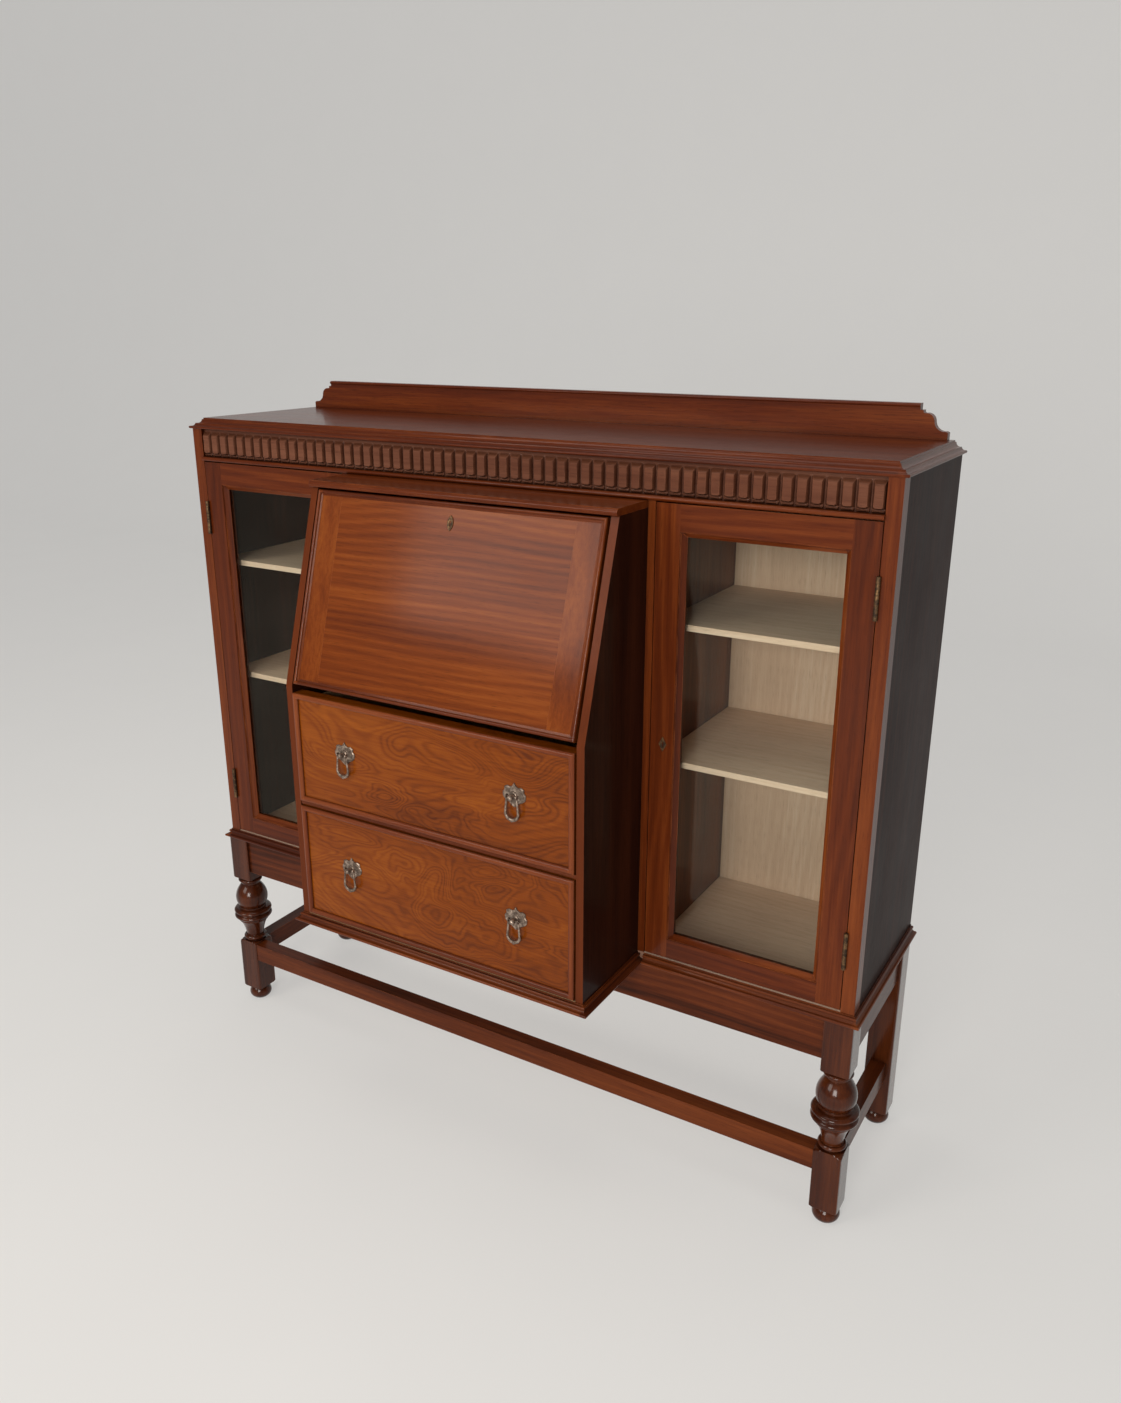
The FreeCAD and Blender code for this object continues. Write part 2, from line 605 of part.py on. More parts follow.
def stretchers():
    """Front stretcher and two side stretchers between the lower blocks."""
    z0, z1 = STRETCHER_TOP - STRETCHER_HEIGHT, STRETCHER_TOP
    y = LEG_FRONT_Y + 1.5
    front = box(-LEG_INNER_X, LEG_INNER_X, y, y + STRETCHER_THICK, z0, z1)
    inset = (LEG_SIZE - STRETCHER_THICK) / 2
    y0, y1 = LEG_FRONT_Y + LEG_SIZE, BACK_Y - LEG_SIZE
    side = box(LEG_INNER_X + inset, LEG_OUTER_X - inset, y0, y1, z0, z1)
    save("stretchers", front, side, mirror(side))


# ---- bureau carcass ----------------------------------------------------------------------------
def slope_y(z):
    """Front edge of the bureau side at a height on the slope."""
    return FRONT_Y + max(0.0, z - KNEE_Z) * math.tan(LEAN)


def bureau_sides():
    """Bureau side: upright at the drawers, sloping back beside the fall."""
    points = [(FRONT_Y, FLOOR_BASE_Z), (FRONT_Y, KNEE_Z), (slope_y(BUREAU_CEILING_Z), BUREAU_CEILING_Z),
              (INNER_BACK_Y, BUREAU_CEILING_Z), (INNER_BACK_Y, FLOOR_TOP_Z), (CASE_Y, FLOOR_TOP_Z),
              (CASE_Y, FLOOR_BASE_Z)]
    side = prism_x(points, BUREAU_INNER, BUREAU_HALF)
    save("bureau_side_right", side)
    save("bureau_side_left", mirror(side))


def bureau_top():
    """Board over the writing space, with a moulded nose in front and the mortise for the bolt."""
    z0, z1 = BUREAU_CEILING_Z, BEAD_BASE_Z
    edge = BUREAU_TOP_THICK * 0.3
    inset = NOSE_Y + edge
    section = outline([(inset, z0), (NOSE_Y + 0.3 * edge, z0 + edge, (NOSE_Y + 0.4 * edge, z0 + 0.4 * edge)),
                       (NOSE_Y, z0 + 1.1 * edge), (inset, z1 - 0.4 * edge, (NOSE_Y, z1 - 1.2 * edge)),
                       (inset, z1), (INNER_BACK_Y, z1), (INNER_BACK_Y, z0)])
    section.rotate(V(0, 0, 0), Z_AXIS, 90)
    section.translate(V(BUREAU_HALF, 0, 0))
    board = section.extrude(V(-2 * BUREAU_HALF, 0, 0))
    mortise = lean_back(fall_bolt_box(FALL_LENGTH - 1, FALL_LENGTH + FALL_BOLT_TRAVEL + 1, 0.8))
    save("bureau_top", board.cut(mortise))


def writing_bed():
    """Fixed writing surface, thinned at its front edge where the fall's lip swings under it."""
    front = PIVOT_Y + JOINT_GAP
    full = front + LIP_RADIUS + 1.5
    points = [(front, PIVOT_Z - BED_TONGUE), (front, PIVOT_Z), (INNER_BACK_Y, PIVOT_Z),
              (INNER_BACK_Y, BED_BASE_Z), (full, BED_BASE_Z), (full, PIVOT_Z - BED_TONGUE)]
    bed = prism_x(points, -BUREAU_INNER, BUREAU_INNER)
    cuts = []
    for side in (-1, 1):
        y = PIVOT_Y + STAY_RADIUS
        half = STAY_WIDTH / 2 + 3.0
        x0, x1 = sorted((side * (STAY_X - STAY_THICK / 2 - 1), side * (STAY_X + STAY_THICK / 2 + 1)))
        cuts.append(box(x0, x1, y - half, y + half, BED_BASE_Z - 1, PIVOT_Z + 1))
        cuts += fall_hinge_pockets(side)
    save("writing_bed", bed.cut(cuts))


def fall_hinge_x(side):
    """Middle of one of the two hinges of the fall."""
    return side * FALL_HALF * FALL_HINGE_SHARE


def fall_hinge_pockets(side):
    """Pocket for the knuckle and the housing of the fixed leaf."""
    x = fall_hinge_x(side)
    half = HINGE_LENGTH / 2
    knuckle = rod(KNUCKLE_RADIUS + JOINT_GAP, V(x - half - JOINT_GAP, PIVOT_Y, PIVOT_Z), X_AXIS,
                  2 * half + 2 * JOINT_GAP)
    leaf = box(x - half, x + half, PIVOT_Y, PIVOT_Y + LEAF_WIDTH + KNUCKLE_RADIUS, PIVOT_Z - LEAF_THICK,
               PIVOT_Z + 1)
    return [knuckle, leaf]


def drawer_carcass():
    """Bottom board of the bureau, the rail and board between the drawers, and the side guides."""
    floor = box(-BUREAU_INNER, BUREAU_INNER, FRONT_Y, CASE_Y, FLOOR_BASE_Z, FLOOR_TOP_Z)
    save("bureau_bottom", floor)
    divider = box(-BUREAU_INNER, BUREAU_INNER, FRONT_Y + 1.0, INNER_BACK_Y, DIVIDER_Z,
                  DIVIDER_Z + DRAWER_RAIL)
    save("drawer_divider", divider)
    guides = []
    for z in (FLOOR_TOP_Z, DIVIDER_Z + DRAWER_RAIL):
        strip = box(BOX_HALF + JOINT_GAP, BUREAU_INNER, DRAWER_BOX_Y + 6, INNER_BACK_Y - 5,
                    z, z + GUIDE_HEIGHT)
        guides += [strip, mirror(strip)]
    save("drawer_guides", *guides)


def pigeonholes():
    """Fitted nest behind the fall: end boards, top, middle shelf and four uprights."""
    x = BUREAU_INNER - FIT_GAP
    y0, y1 = NICHE_FRONT_Y, INNER_BACK_Y
    z0, z1 = PIVOT_Z, BUREAU_CEILING_Z
    middle = z0 + (z1 - z0) * NICHE_SHELF_SHARE
    board = NICHE_BOARD
    pieces = [box(-x, -x + board, y0, y1, z0, z1), box(x - board, x, y0, y1, z0, z1),
              box(-x + board, x - board, y0, y1, middle, middle + board),
              box(-x + board, x - board, y0, y1, z0, z0 + board)]
    for share in NICHE_LOWER_SHARES:
        centre = share * x
        pieces.append(box(centre - board / 2, centre + board / 2, y0 + 2, y1, z0 + board, middle))
    for share in NICHE_UPPER_SHARES:
        centre = share * x
        pieces.append(box(centre - board / 2, centre + board / 2, y0 + 2, y1, middle + board, z1))
    save("pigeonhole_nest", *pieces)


def fall_stop_strips():
    """Strips on the bureau sides that the closed fall leans on."""
    lap = 2.7
    high = FALL_LENGTH - STOP_STRIP_START - 10
    strip = Part.makeBox(BUREAU_INNER - FALL_HALF + lap, STOP_STRIP_DEPTH, high,
                         V(FALL_HALF - lap, FIT_GAP, STOP_STRIP_START))
    strip = lean_back(strip)
    save("fall_stop_strips", strip, mirror(strip))


# ---- fall ----------------------------------------------------------------------------------
def fall_panel():
    """Middle board of the fall with its lower lip, hinge housings and the lock's mortise."""
    x = FALL_HALF - FALL_CLAMP_WIDTH
    board = fall_blank(-x, x)
    bolt = fall_bolt_box(FALL_LENGTH - FALL_LOCK_HEIGHT + 8, FALL_LENGTH + 1, JOINT_GAP)
    cuts = [fall_lock_box(FIT_GAP), bolt]
    save("fall_panel", lean_back(board.cut(cuts)))
    clamp = fall_blank(x, FALL_HALF)
    pocket = stay_foot(0.0)
    right = lean_back(clamp.cut(pocket))
    save("fall_clamps", right, mirror(right))


def fall_blank(x0, x1):
    """Upright slab from the pivot line, with the lip below and the hinge leaves let in."""
    low = JOINT_GAP
    body = box(x0, x1, -FALL_THICK, 0, low, FALL_LENGTH)
    lip = box(x0, x1, -FALL_THICK, -FALL_THICK + FALL_LIP_THICK, -FALL_LIP, low + 1)
    cuts = []
    for side in (-1, 1):
        x = fall_hinge_x(side)
        half = HINGE_LENGTH / 2
        start = V(x - half - JOINT_GAP, 0, 0)
        cuts.append(rod(KNUCKLE_RADIUS + JOINT_GAP, start, X_AXIS, 2 * half + 2 * JOINT_GAP))
        cuts.append(box(x - half, x + half, -LEAF_THICK, 1, 0, LEAF_WIDTH + KNUCKLE_RADIUS))
    return body.fuse(lip).removeSplitter().cut(cuts).Solids[0]


def fall_edge_moulding():
    """Raised bead round the face of the fall, mitred at the corners."""
    width, relief = FALL_EDGE_WIDTH, FALL_EDGE_RELIEF
    profile = [(0, 0), (0, 1.2), (width * 0.62, 1.4, (width * 0.3, relief)), (width * 0.62, 0.9),
               (width, 0.5), (width, 0)]
    frame = front_frame(profile, -FALL_HALF, FALL_HALF, -FALL_LIP, FALL_LENGTH, -FALL_THICK, True)
    save("fall_edge_moulding", lean_back(frame))


def fall_lock_box(gap):
    """Lock case let into the inner face of the fall at its upper edge."""
    half = FALL_LOCK_HALF + gap
    foot = FALL_LENGTH - FALL_LOCK_HEIGHT - gap
    return box(-half, half, -FALL_LOCK_DEPTH - gap, 0.01, foot, FALL_LENGTH + 0.01)


def fall_bolt_box(z0, z1, gap):
    """Space of the lock's bolt, from one height to another along the fall."""
    half = FALL_BOLT_HALF + gap
    return box(-half, half, -FALL_BOLT_BACK - gap, -FALL_BOLT_FRONT + gap, z0, z1)


def fall_lock():
    """Lock case of the fall with the channel for its bolt, and the bolt drawn back."""
    foot = FALL_LENGTH - FALL_LOCK_HEIGHT
    case = box(-FALL_LOCK_HALF, FALL_LOCK_HALF, -FALL_LOCK_DEPTH, -0.2, foot, FALL_LENGTH)
    case = case.cut(fall_bolt_box(foot + 10, FALL_LENGTH + 1, FIT_GAP))
    tip = FALL_LENGTH - 0.6
    bolt = fall_bolt_box(tip - FALL_BOLT_LENGTH, tip, 0.0)
    save("fall_lock_bolt", lean_back(bolt))
    return lean_back(case)


def hinge_set(moving):
    """Leaf and knuckles of one hinge, built along X at the origin with the leaf toward +Y.

    The fixed half has the two outer knuckles and the pin; the moving half has the middle one.
    """
    third = HINGE_LENGTH / 3
    half = HINGE_LENGTH / 2
    spans = [(-third / 2 + FIT_GAP, third / 2 - FIT_GAP)]
    if not moving:
        spans = [(-half, -third / 2), (third / 2, half)]
    solid = None
    for x0, x1 in spans:
        knuckle = rod(KNUCKLE_RADIUS, V(x0, 0, 0), X_AXIS, x1 - x0)
        web = box(x0, x1, 0, KNUCKLE_RADIUS + 1.5, -LEAF_THICK, 0)
        piece = knuckle.fuse(web)
        solid = piece if solid is None else solid.fuse(piece)
    leaf = box(-half, half, KNUCKLE_RADIUS + 0.8, KNUCKLE_RADIUS + LEAF_WIDTH - 1.0, -LEAF_THICK, 0)
    solid = solid.fuse(leaf)
    if moving:
        solid = solid.cut(rod(PIN_RADIUS + PIN_PLAY, V(-half, 0, 0), X_AXIS, HINGE_LENGTH))
    else:
        solid = solid.fuse(rod(PIN_RADIUS, V(-half, 0, 0), X_AXIS, HINGE_LENGTH))
    return solid.removeSplitter().Solids[0]


def fall_hinge_leaves():
    """Moving leaves on the fall's inner face."""
    leaves = []
    for side in (-1, 1):
        leaf = hinge_set(True)
        leaf.rotate(V(0, 0, 0), X_AXIS, 90)
        leaf = leaf.mirror(V(0, 0, 0), Y_AXIS)
        leaf.translate(V(fall_hinge_x(side), 0, 0))
        leaves.append(lean_back(leaf))
    return leaves


def escutcheon(height, width, reach):
    """Thin pointed-oval key plate with its keyhole, standing on the plane y = 0."""
    plate = outline([(0, height / 2), (0, -height / 2, (width / 2, 0)), (0, height / 2, (-width / 2, 0))])
    plate = plate.extrude(V(0, -reach, 0))
    hole = rod(1.6, V(0, 1, height * 0.08), V(0, -1, 0), reach + 2)
    slot = box(-0.8, 0.8, -reach - 1, 1, -height * 0.22, height * 0.08)
    return plate.cut([hole, slot])


def fall_fittings():
    """Hinge leaves, lock case and key plate carried by the fall."""
    plate = escutcheon(22.0, 10.0, 1.2)
    plate.translate(V(0, -FALL_THICK, FALL_LENGTH - FALL_KEY_DROP))
    save("fall_fittings", *fall_hinge_leaves(), fall_lock(), lean_back(plate))


def stay_foot(gap):
    """Foot plate of a quadrant stay, let flush into the fall's inner face."""
    half = STAY_FOOT_HALF + gap
    x0, x1 = STAY_X - 8 - gap, STAY_X + 4 + gap
    return box(x0, x1, -2.4 - gap, 0.01, STAY_RADIUS - half, STAY_RADIUS + half)


def fall_stays():
    """Brass quadrants on the fall, centred on the hinge line, that hold it level when open."""
    x0 = STAY_X - STAY_THICK / 2
    ring = rod(STAY_RADIUS + STAY_WIDTH / 2, V(x0, 0, 0), X_AXIS, STAY_THICK)
    ring = ring.cut(rod(STAY_RADIUS - STAY_WIDTH / 2, V(x0 - 1, 0, 0), X_AXIS, STAY_THICK + 2))
    arc = ring.common(sector(x0 - 1, STAY_THICK + 2, STAY_SPAN_DEG))
    end = math.radians(STAY_SPAN_DEG)
    centre = V(x0, math.sin(end) * STAY_RADIUS, math.cos(end) * STAY_RADIUS)
    head = rod(STAY_HEAD_RADIUS, centre, X_AXIS, STAY_THICK)
    stay = arc.fuse([head, stay_foot(0.0)]).removeSplitter().Solids[0]
    stay = lean_back(stay)
    save("fall_stays", stay, mirror(stay))


def sector(x0, thick, span):
    """Wedge of a disc from the fall's inner face backward by an angle."""
    big = STAY_RADIUS * 3
    points = [(0.0, 0.0)]
    for i in range(5):
        angle = math.radians(span) * i / 4
        points.append((big * math.sin(angle), big * math.cos(angle)))
    return prism_x(points, x0, x0 + thick)


def stay_keepers():
    """Slotted brass guides on the bureau sides, where the quadrants pass."""
    x0 = STAY_X - STAY_THICK / 2 - 3.0
    block = Part.makeBox(BUREAU_INNER - x0, KEEPER_DEPTH, KEEPER_HEIGHT,
                         V(x0, -KEEPER_DEPTH / 2, STAY_RADIUS - KEEPER_HEIGHT / 2))
    slot = Part.makeBox(STAY_THICK + 1.0, KEEPER_DEPTH + 2, STAY_WIDTH + 1.4,
                        V(STAY_X - STAY_THICK / 2 - 0.5, -KEEPER_DEPTH / 2 - 1,
                          STAY_RADIUS - STAY_WIDTH / 2 - 0.7))
    keeper = block.cut(slot)
    keeper.rotate(V(0, 0, 0), X_AXIS, -(KEEPER_DEG - 90))
    keeper.translate(V(0, PIVOT_Y, PIVOT_Z))
    save("stay_keepers", keeper, mirror(keeper))


def fixed_hinge_leaves():
    """Fixed halves of the fall's and the doors' hinges, with their pins."""
    pieces = []
    for side in (-1, 1):
        leaf = hinge_set(False)
        leaf.translate(V(fall_hinge_x(side), PIVOT_Y, PIVOT_Z))
        pieces.append(leaf)
    for z in HINGE_CENTRES:
        leaf = door_leaf(False, z)
        pieces += [leaf, mirror(leaf)]
    save("fixed_hinge_leaves", *pieces)


# ---- doors ---------------------------------------------------------------------------------
def door_leaf(moving, z):
    """Half of a butt hinge in the joint between the door and the corner post."""
    leaf = hinge_set(moving)
    leaf.rotate(V(0, 0, 0), Y_AXIS, 90)
    if not moving:
        leaf = leaf.mirror(V(0, 0, 0), X_AXIS)
    leaf.translate(V(HINGE_X, HINGE_Y, z))
    return leaf


def door_bolt_box(x0, x1, gap):
    """Space of the door bolt in the right-hand door."""
    y = CASE_Y + DOOR_THICK / 2
    half = DOOR_BOLT_HALF + gap
    return box(x0, x1, y - 2.5 - gap, y + 2.5 + gap, LOCK_Z - half, LOCK_Z + half)


def door_lock_box(gap):
    """Lock case in the free stile, open at the door's edge."""
    y = CASE_Y + DOOR_THICK / 2
    half = DOOR_LOCK_HALF + gap
    return box(DOOR_LEFT_X - 0.01, DOOR_LEFT_X + DOOR_LOCK_DEEP + gap, y - 4.5 - gap, y + 4.5 + gap,
               LOCK_Z - half, LOCK_Z + half)


def door_frame():
    """Two stiles and two rails, with the housings for hinges and lock."""
    x0, x1 = DOOR_LEFT_X, DOOR_RIGHT_X
    y0, y1 = CASE_Y, CASE_Y + DOOR_THICK
    z0, z1 = DOOR_BASE_Z, DOOR_TOP_Z
    lock_stile = box(x0, x0 + DOOR_STILE, y0, y1, z0, z1).cut(door_lock_box(0.0))
    cuts = hinge_clearance(HINGE_X, HINGE_Y, HINGE_CENTRES)
    for z in HINGE_CENTRES:
        half = HINGE_LENGTH / 2
        cuts.append(box(x1 - LEAF_THICK, x1 + 1, y0 - 1, y0 + LEAF_WIDTH, z - half, z + half))
    hinge_stile = box(x1 - DOOR_STILE, x1, y0, y1, z0, z1).cut(cuts)
    top = box(x0 + DOOR_STILE, x1 - DOOR_STILE, y0, y1, z1 - DOOR_RAIL_TOP, z1)
    bottom = box(x0 + DOOR_STILE, x1 - DOOR_STILE, y0, y1, z0, z0 + DOOR_RAIL_BOTTOM)
    return [lock_stile, hinge_stile, top, bottom]


def door_glazing():
    """Moulded beads in front of the pane, plain beads behind it, and the pane."""
    x0, x1 = DOOR_LEFT_X + DOOR_STILE, DOOR_RIGHT_X - DOOR_STILE
    z0, z1 = DOOR_BASE_Z + DOOR_RAIL_BOTTOM, DOOR_TOP_Z - DOOR_RAIL_TOP
    wide = GLAZING_BEAD
    deep = OVOLO_DEPTH
    rear_deep = DOOR_THICK - deep - GLASS_THICK - FIT_GAP
    ovolo = [(0, 0), (0, deep - 1), (1.2, deep - 1), (1.2, deep - 2.2),
             (wide, 2.0, (wide * 0.45, deep - 4.5)), (wide, 0)]
    front = front_frame(ovolo, x0, x1, z0, z1, CASE_Y + deep, True)
    square = [(0, 0), (0, rear_deep), (wide - 2, rear_deep), (wide - 2, 0)]
    rear = front_frame(square, x0, x1, z0, z1, CASE_Y + DOOR_THICK, True)
    pane_y = CASE_Y + deep + FIT_GAP / 2
    pane = box(x0 + FIT_GAP, x1 - FIT_GAP, pane_y, pane_y + GLASS_THICK, z0 + FIT_GAP, z1 - FIT_GAP)
    return front, rear, pane


def door_fittings():
    """Moving hinge leaves, lock case and lozenge key plate of the right-hand door."""
    leaves = [door_leaf(True, z) for z in HINGE_CENTRES]
    channel = door_bolt_box(DOOR_LEFT_X - 1, DOOR_LEFT_X + DOOR_BOLT_LENGTH + 4, FIT_GAP)
    case = door_lock_box(0.0).cut(channel)
    lozenge = prism_y([(0, 11), (6, 0), (0, -11), (-6, 0)], -1.2, 0)
    lozenge = lozenge.cut([rod(1.5, V(0, 1, 1.5), V(0, -1, 0), 4), box(-0.7, 0.7, -2, 1, -4.5, 1.5)])
    lozenge.translate(V(DOOR_LEFT_X + DOOR_STILE * 0.55, CASE_Y, LOCK_Z))
    return leaves + [case, lozenge]


def doors():
    """Both glazed doors, the left one mirrored from the right one."""
    frame = door_frame()
    front, rear, pane = door_glazing()
    fittings = door_fittings()
    bolt = door_bolt_box(DOOR_LEFT_X + FIT_GAP, DOOR_LEFT_X + DOOR_BOLT_LENGTH, 0.0)
    save("door_right_frame", *frame)
    save("door_right_glazing_beads", front, rear)
    save("door_right_pane", pane)
    save("door_right_fittings", *fittings)
    save("door_right_lock_bolt", bolt)
    save("door_left_frame", *[mirror(piece) for piece in frame])
    save("door_left_glazing_beads", mirror(front), mirror(rear))
    save("door_left_pane", mirror(pane))
    save("door_left_fittings", *[mirror(piece) for piece in fittings])
    save("door_left_lock_bolt", mirror(bolt))


# ---- drawers -------------------------------------------------------------------------------
def drawer(name, z0, height):
    """Drawer front, its moulded edge, the box behind it and the handles' plates and drops."""
    z1 = z0 + height
    front = box(-DRAWER_HALF, DRAWER_HALF, FRONT_Y, DRAWER_BOX_Y, z0, z1)
    edge = DRAWER_EDGE_WIDTH
    profile = [(0, 0), (0, DRAWER_EDGE_RELIEF * 0.5), (edge, DRAWER_EDGE_RELIEF * 0.35,
               (edge * 0.45, DRAWER_EDGE_RELIEF)), (edge, 0)]
    lip = front_frame(profile, -DRAWER_HALF, DRAWER_HALF, z0, z1, FRONT_Y, True)
    top = z1 - DRAWER_SIDE_DROP
    floor = z0 + DRAWER_BOTTOM_RISE
    inner = BOX_HALF - DRAWER_WALL
    back_y = DRAWER_END_Y - DRAWER_WALL
    side = box(inner, BOX_HALF, DRAWER_BOX_Y, DRAWER_END_Y, z0, top)
    back = box(-inner, inner, back_y, DRAWER_END_Y, floor, top)
    bottom = box(-inner, inner, DRAWER_BOX_Y, back_y, floor, floor + DRAWER_BOTTOM)
    save(name + "_front", front)
    save(name + "_edge_moulding", lip)
    save(name + "_box", side, mirror(side), back, bottom)
    plate = handle_plate()
    drop = handle_drop()
    plates = []
    for side_name, x in (("left", -HANDLE_SPREAD / 2), ("right", HANDLE_SPREAD / 2)):
        place = V(x, FRONT_Y, (z0 + z1) / 2 + HANDLE_RISE)
        plates.append(plate.translated(place))
        save(name + "_drop_" + side_name, drop.translated(place))
    save(name + "_handle_plates", *plates)


def handle_plate():
    """Shaped back plate with its stud, the round end of the stud and the pin for the drop."""
    w, h = PLATE_WIDTH / 2, PLATE_HEIGHT / 2
    face = outline([(0, h), (w * 0.34, h * 0.62, (w * 0.16, h * 0.72)),
                    (w * 0.86, h * 0.56, (w * 0.66, h * 0.74)), (w, h * 0.1, (w * 0.82, h * 0.3)),
                    (w * 0.72, -h * 0.5, (w * 0.98, -h * 0.26)),
                    (w * 0.2, -h * 0.86, (w * 0.46, -h * 0.6)), (0, -h),
                    (-w * 0.2, -h * 0.86), (-w * 0.72, -h * 0.5, (-w * 0.46, -h * 0.6)),
                    (-w, h * 0.1, (-w * 0.98, -h * 0.26)), (-w * 0.86, h * 0.56, (-w * 0.82, h * 0.3)),
                    (-w * 0.34, h * 0.62, (-w * 0.66, h * 0.74)), (0, h, (-w * 0.16, h * 0.72))])
    plate = face.extrude(V(0, -PLATE_THICK, 0))
    stud = rod(POST_RADIUS, V(0, 0, 0), V(0, -1, 0), POST_REACH)
    ball = Part.makeSphere(BALL_RADIUS, V(0, -POST_REACH - 0.4, 0))
    half = DROP_EYE_HALF + DROP_EYE_THICK / 2 + 0.5
    pin = rod(DROP_PIN_RADIUS, V(-half, -POST_REACH + DROP_SETBACK, 0), X_AXIS, 2 * half)
    return plate.fuse([stud, ball, pin]).removeSplitter().Solids[0]


def handle_drop():
    """Teardrop loop hanging on the pin by two eyes, with a small tip below."""
    y = -POST_REACH + DROP_SETBACK
    r = DROP_BOTTOM_RADIUS
    centre = -DROP_LENGTH + r
    eye = DROP_EYE_HALF
    left = V(-eye, y, -1.0)
    right = V(eye, y, -1.0)
    low_left = V(-r, y, centre)
    low_right = V(r, y, centre)
    bend = Part.makeTorus(r, DROP_ROD, V(0, y, centre), Y_AXIS, 0, 360, 360)
    bend = bend.common(box(-2 * r, 2 * r, y - 5, y + 5, centre - 2 * r, centre))
    solids = [bend]
    for side, top, low in ((-1, left, low_left), (1, right, low_right)):
        solids.append(rod(DROP_ROD, top, low - top, (low - top).Length))
        solids.append(Part.makeSphere(DROP_ROD, low))
        end = V(side * eye - DROP_EYE_THICK / 2, y, 0)
        solids.append(rod(DROP_EYE_RADIUS, end, X_AXIS, DROP_EYE_THICK))
    solids.append(Part.makeSphere(DROP_TIP_RADIUS, V(0, y, centre - r - 1.0)))
    body = solids[0].fuse(solids[1:]).removeSplitter()
    reach = eye + DROP_EYE_THICK
    bore = rod(DROP_PIN_RADIUS + PIN_PLAY, V(-reach, y, 0), X_AXIS, 2 * reach)
    return body.cut(bore).Solids[0]


def build():
    """Build every sub-part."""
    os.makedirs("parts", exist_ok=True)
    top_board()
    gallery()
    carved_frieze()
    frieze_bead()
    corner_stiles()
    side_panels()
    partitions()
    case_floor_and_back()
    shelves()
    base_moulding()
    front_legs()
    back_legs()
    aprons()
    stretchers()
    bureau_sides()
    bureau_top()
    writing_bed()
    drawer_carcass()
    pigeonholes()
    fall_stop_strips()
    fall_panel()
    fall_edge_moulding()
    fall_fittings()
    fall_stays()
    stay_keepers()
    fixed_hinge_leaves()
    doors()
    drawer("drawer_lower", LOWER_DRAWER_Z, LOWER_DRAWER_HEIGHT)
    drawer("drawer_upper", UPPER_DRAWER_Z, UPPER_DRAWER_HEIGHT)


build()
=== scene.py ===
"""Looks of a side-by-side bureau bookcase in polished mahogany.

Frame: +X to the right, -Y to the front, +Z up, in metres.  Its origin is the centre of the footprint
on the floor.
"""
import logging
import math
from dataclasses import dataclass, replace
from enum import Enum
from typing import Any, Callable, Sequence

import bmesh
import bpy
import numpy as np
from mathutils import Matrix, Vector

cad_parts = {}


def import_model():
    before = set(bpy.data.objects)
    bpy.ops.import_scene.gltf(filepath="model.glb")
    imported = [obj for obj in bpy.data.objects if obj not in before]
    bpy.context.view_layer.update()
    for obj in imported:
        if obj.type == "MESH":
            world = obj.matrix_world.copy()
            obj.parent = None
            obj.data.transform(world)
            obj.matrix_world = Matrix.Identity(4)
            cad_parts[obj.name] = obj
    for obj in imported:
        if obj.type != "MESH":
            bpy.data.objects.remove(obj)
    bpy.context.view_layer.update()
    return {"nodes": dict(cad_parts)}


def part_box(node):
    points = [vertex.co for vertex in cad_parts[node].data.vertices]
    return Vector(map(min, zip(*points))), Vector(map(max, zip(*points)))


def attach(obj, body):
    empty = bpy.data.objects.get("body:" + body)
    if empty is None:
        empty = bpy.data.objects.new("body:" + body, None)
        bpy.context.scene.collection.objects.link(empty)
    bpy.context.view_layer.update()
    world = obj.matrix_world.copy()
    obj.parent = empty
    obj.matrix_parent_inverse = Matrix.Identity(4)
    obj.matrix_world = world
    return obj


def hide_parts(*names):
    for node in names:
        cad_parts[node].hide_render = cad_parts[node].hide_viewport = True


frame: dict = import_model()

LOG = logging.getLogger("bureau_bookcase")
Colour = tuple[float, float, float]
MM = 0.001


class Axis(Enum):
    """Way the grain of a board runs."""

    X = 0
    Y = 1
    Z = 2


class Figure(Enum):
    """Pattern that the cut of the board shows."""

    PLAIN = "plain"
    FLAT_SAWN = "flat_sawn"
    SWIRL = "swirl"


# ---- shader helpers ------------------------------------------------------------------------------
def _operator(kind: str, swapped: bool = False) -> Callable:
    """Build an operator of Value that adds one Math node.

    Args:
        kind: the Math node's operation.
        swapped: True for the reflected form.

    Returns:
        The method.
    """

    def apply(self: "Value", other: "Value | float") -> "Value":
        """Add the Math node on this value and the other."""
        pair = (other, self) if swapped else (self, other)
        return self.graph.math(kind, *pair)

    return apply


class Value:
    """Number socket whose operators add Math nodes."""

    def __init__(self, graph: "Graph", socket: bpy.types.NodeSocket) -> None:
        """Keep the graph and the socket."""
        self.graph = graph
        self.socket = socket

    __add__ = _operator("ADD")
    __radd__ = _operator("ADD", True)
    __sub__ = _operator("SUBTRACT")
    __rsub__ = _operator("SUBTRACT", True)
    __mul__ = _operator("MULTIPLY")
    __rmul__ = _operator("MULTIPLY", True)
    __truediv__ = _operator("DIVIDE")
    __rtruediv__ = _operator("DIVIDE", True)
    __pow__ = _operator("POWER")
    above = _operator("GREATER_THAN")
    below = _operator("LESS_THAN")
    most = _operator("MAXIMUM")
    least = _operator("MINIMUM")

    def wave(self) -> "Value":
        """Sine of the value, brought to 0..1."""
        return self.graph.math("SINE", self, 0.0) * 0.5 + 0.5

    def size(self) -> "Value":
        """Absolute value."""
        return self.graph.math("ABSOLUTE", self, 0.0)

    def smooth(self, low: float, high: float) -> "Value":
        """Smooth step from 0 at low to 1 at high."""
        node = self.graph.node(
            "ShaderNodeMapRange", {"interpolation_type": "SMOOTHSTEP"},
            {"Value": self, "From Min": low, "From Max": high})
        return Value(self.graph, node.outputs["Result"])


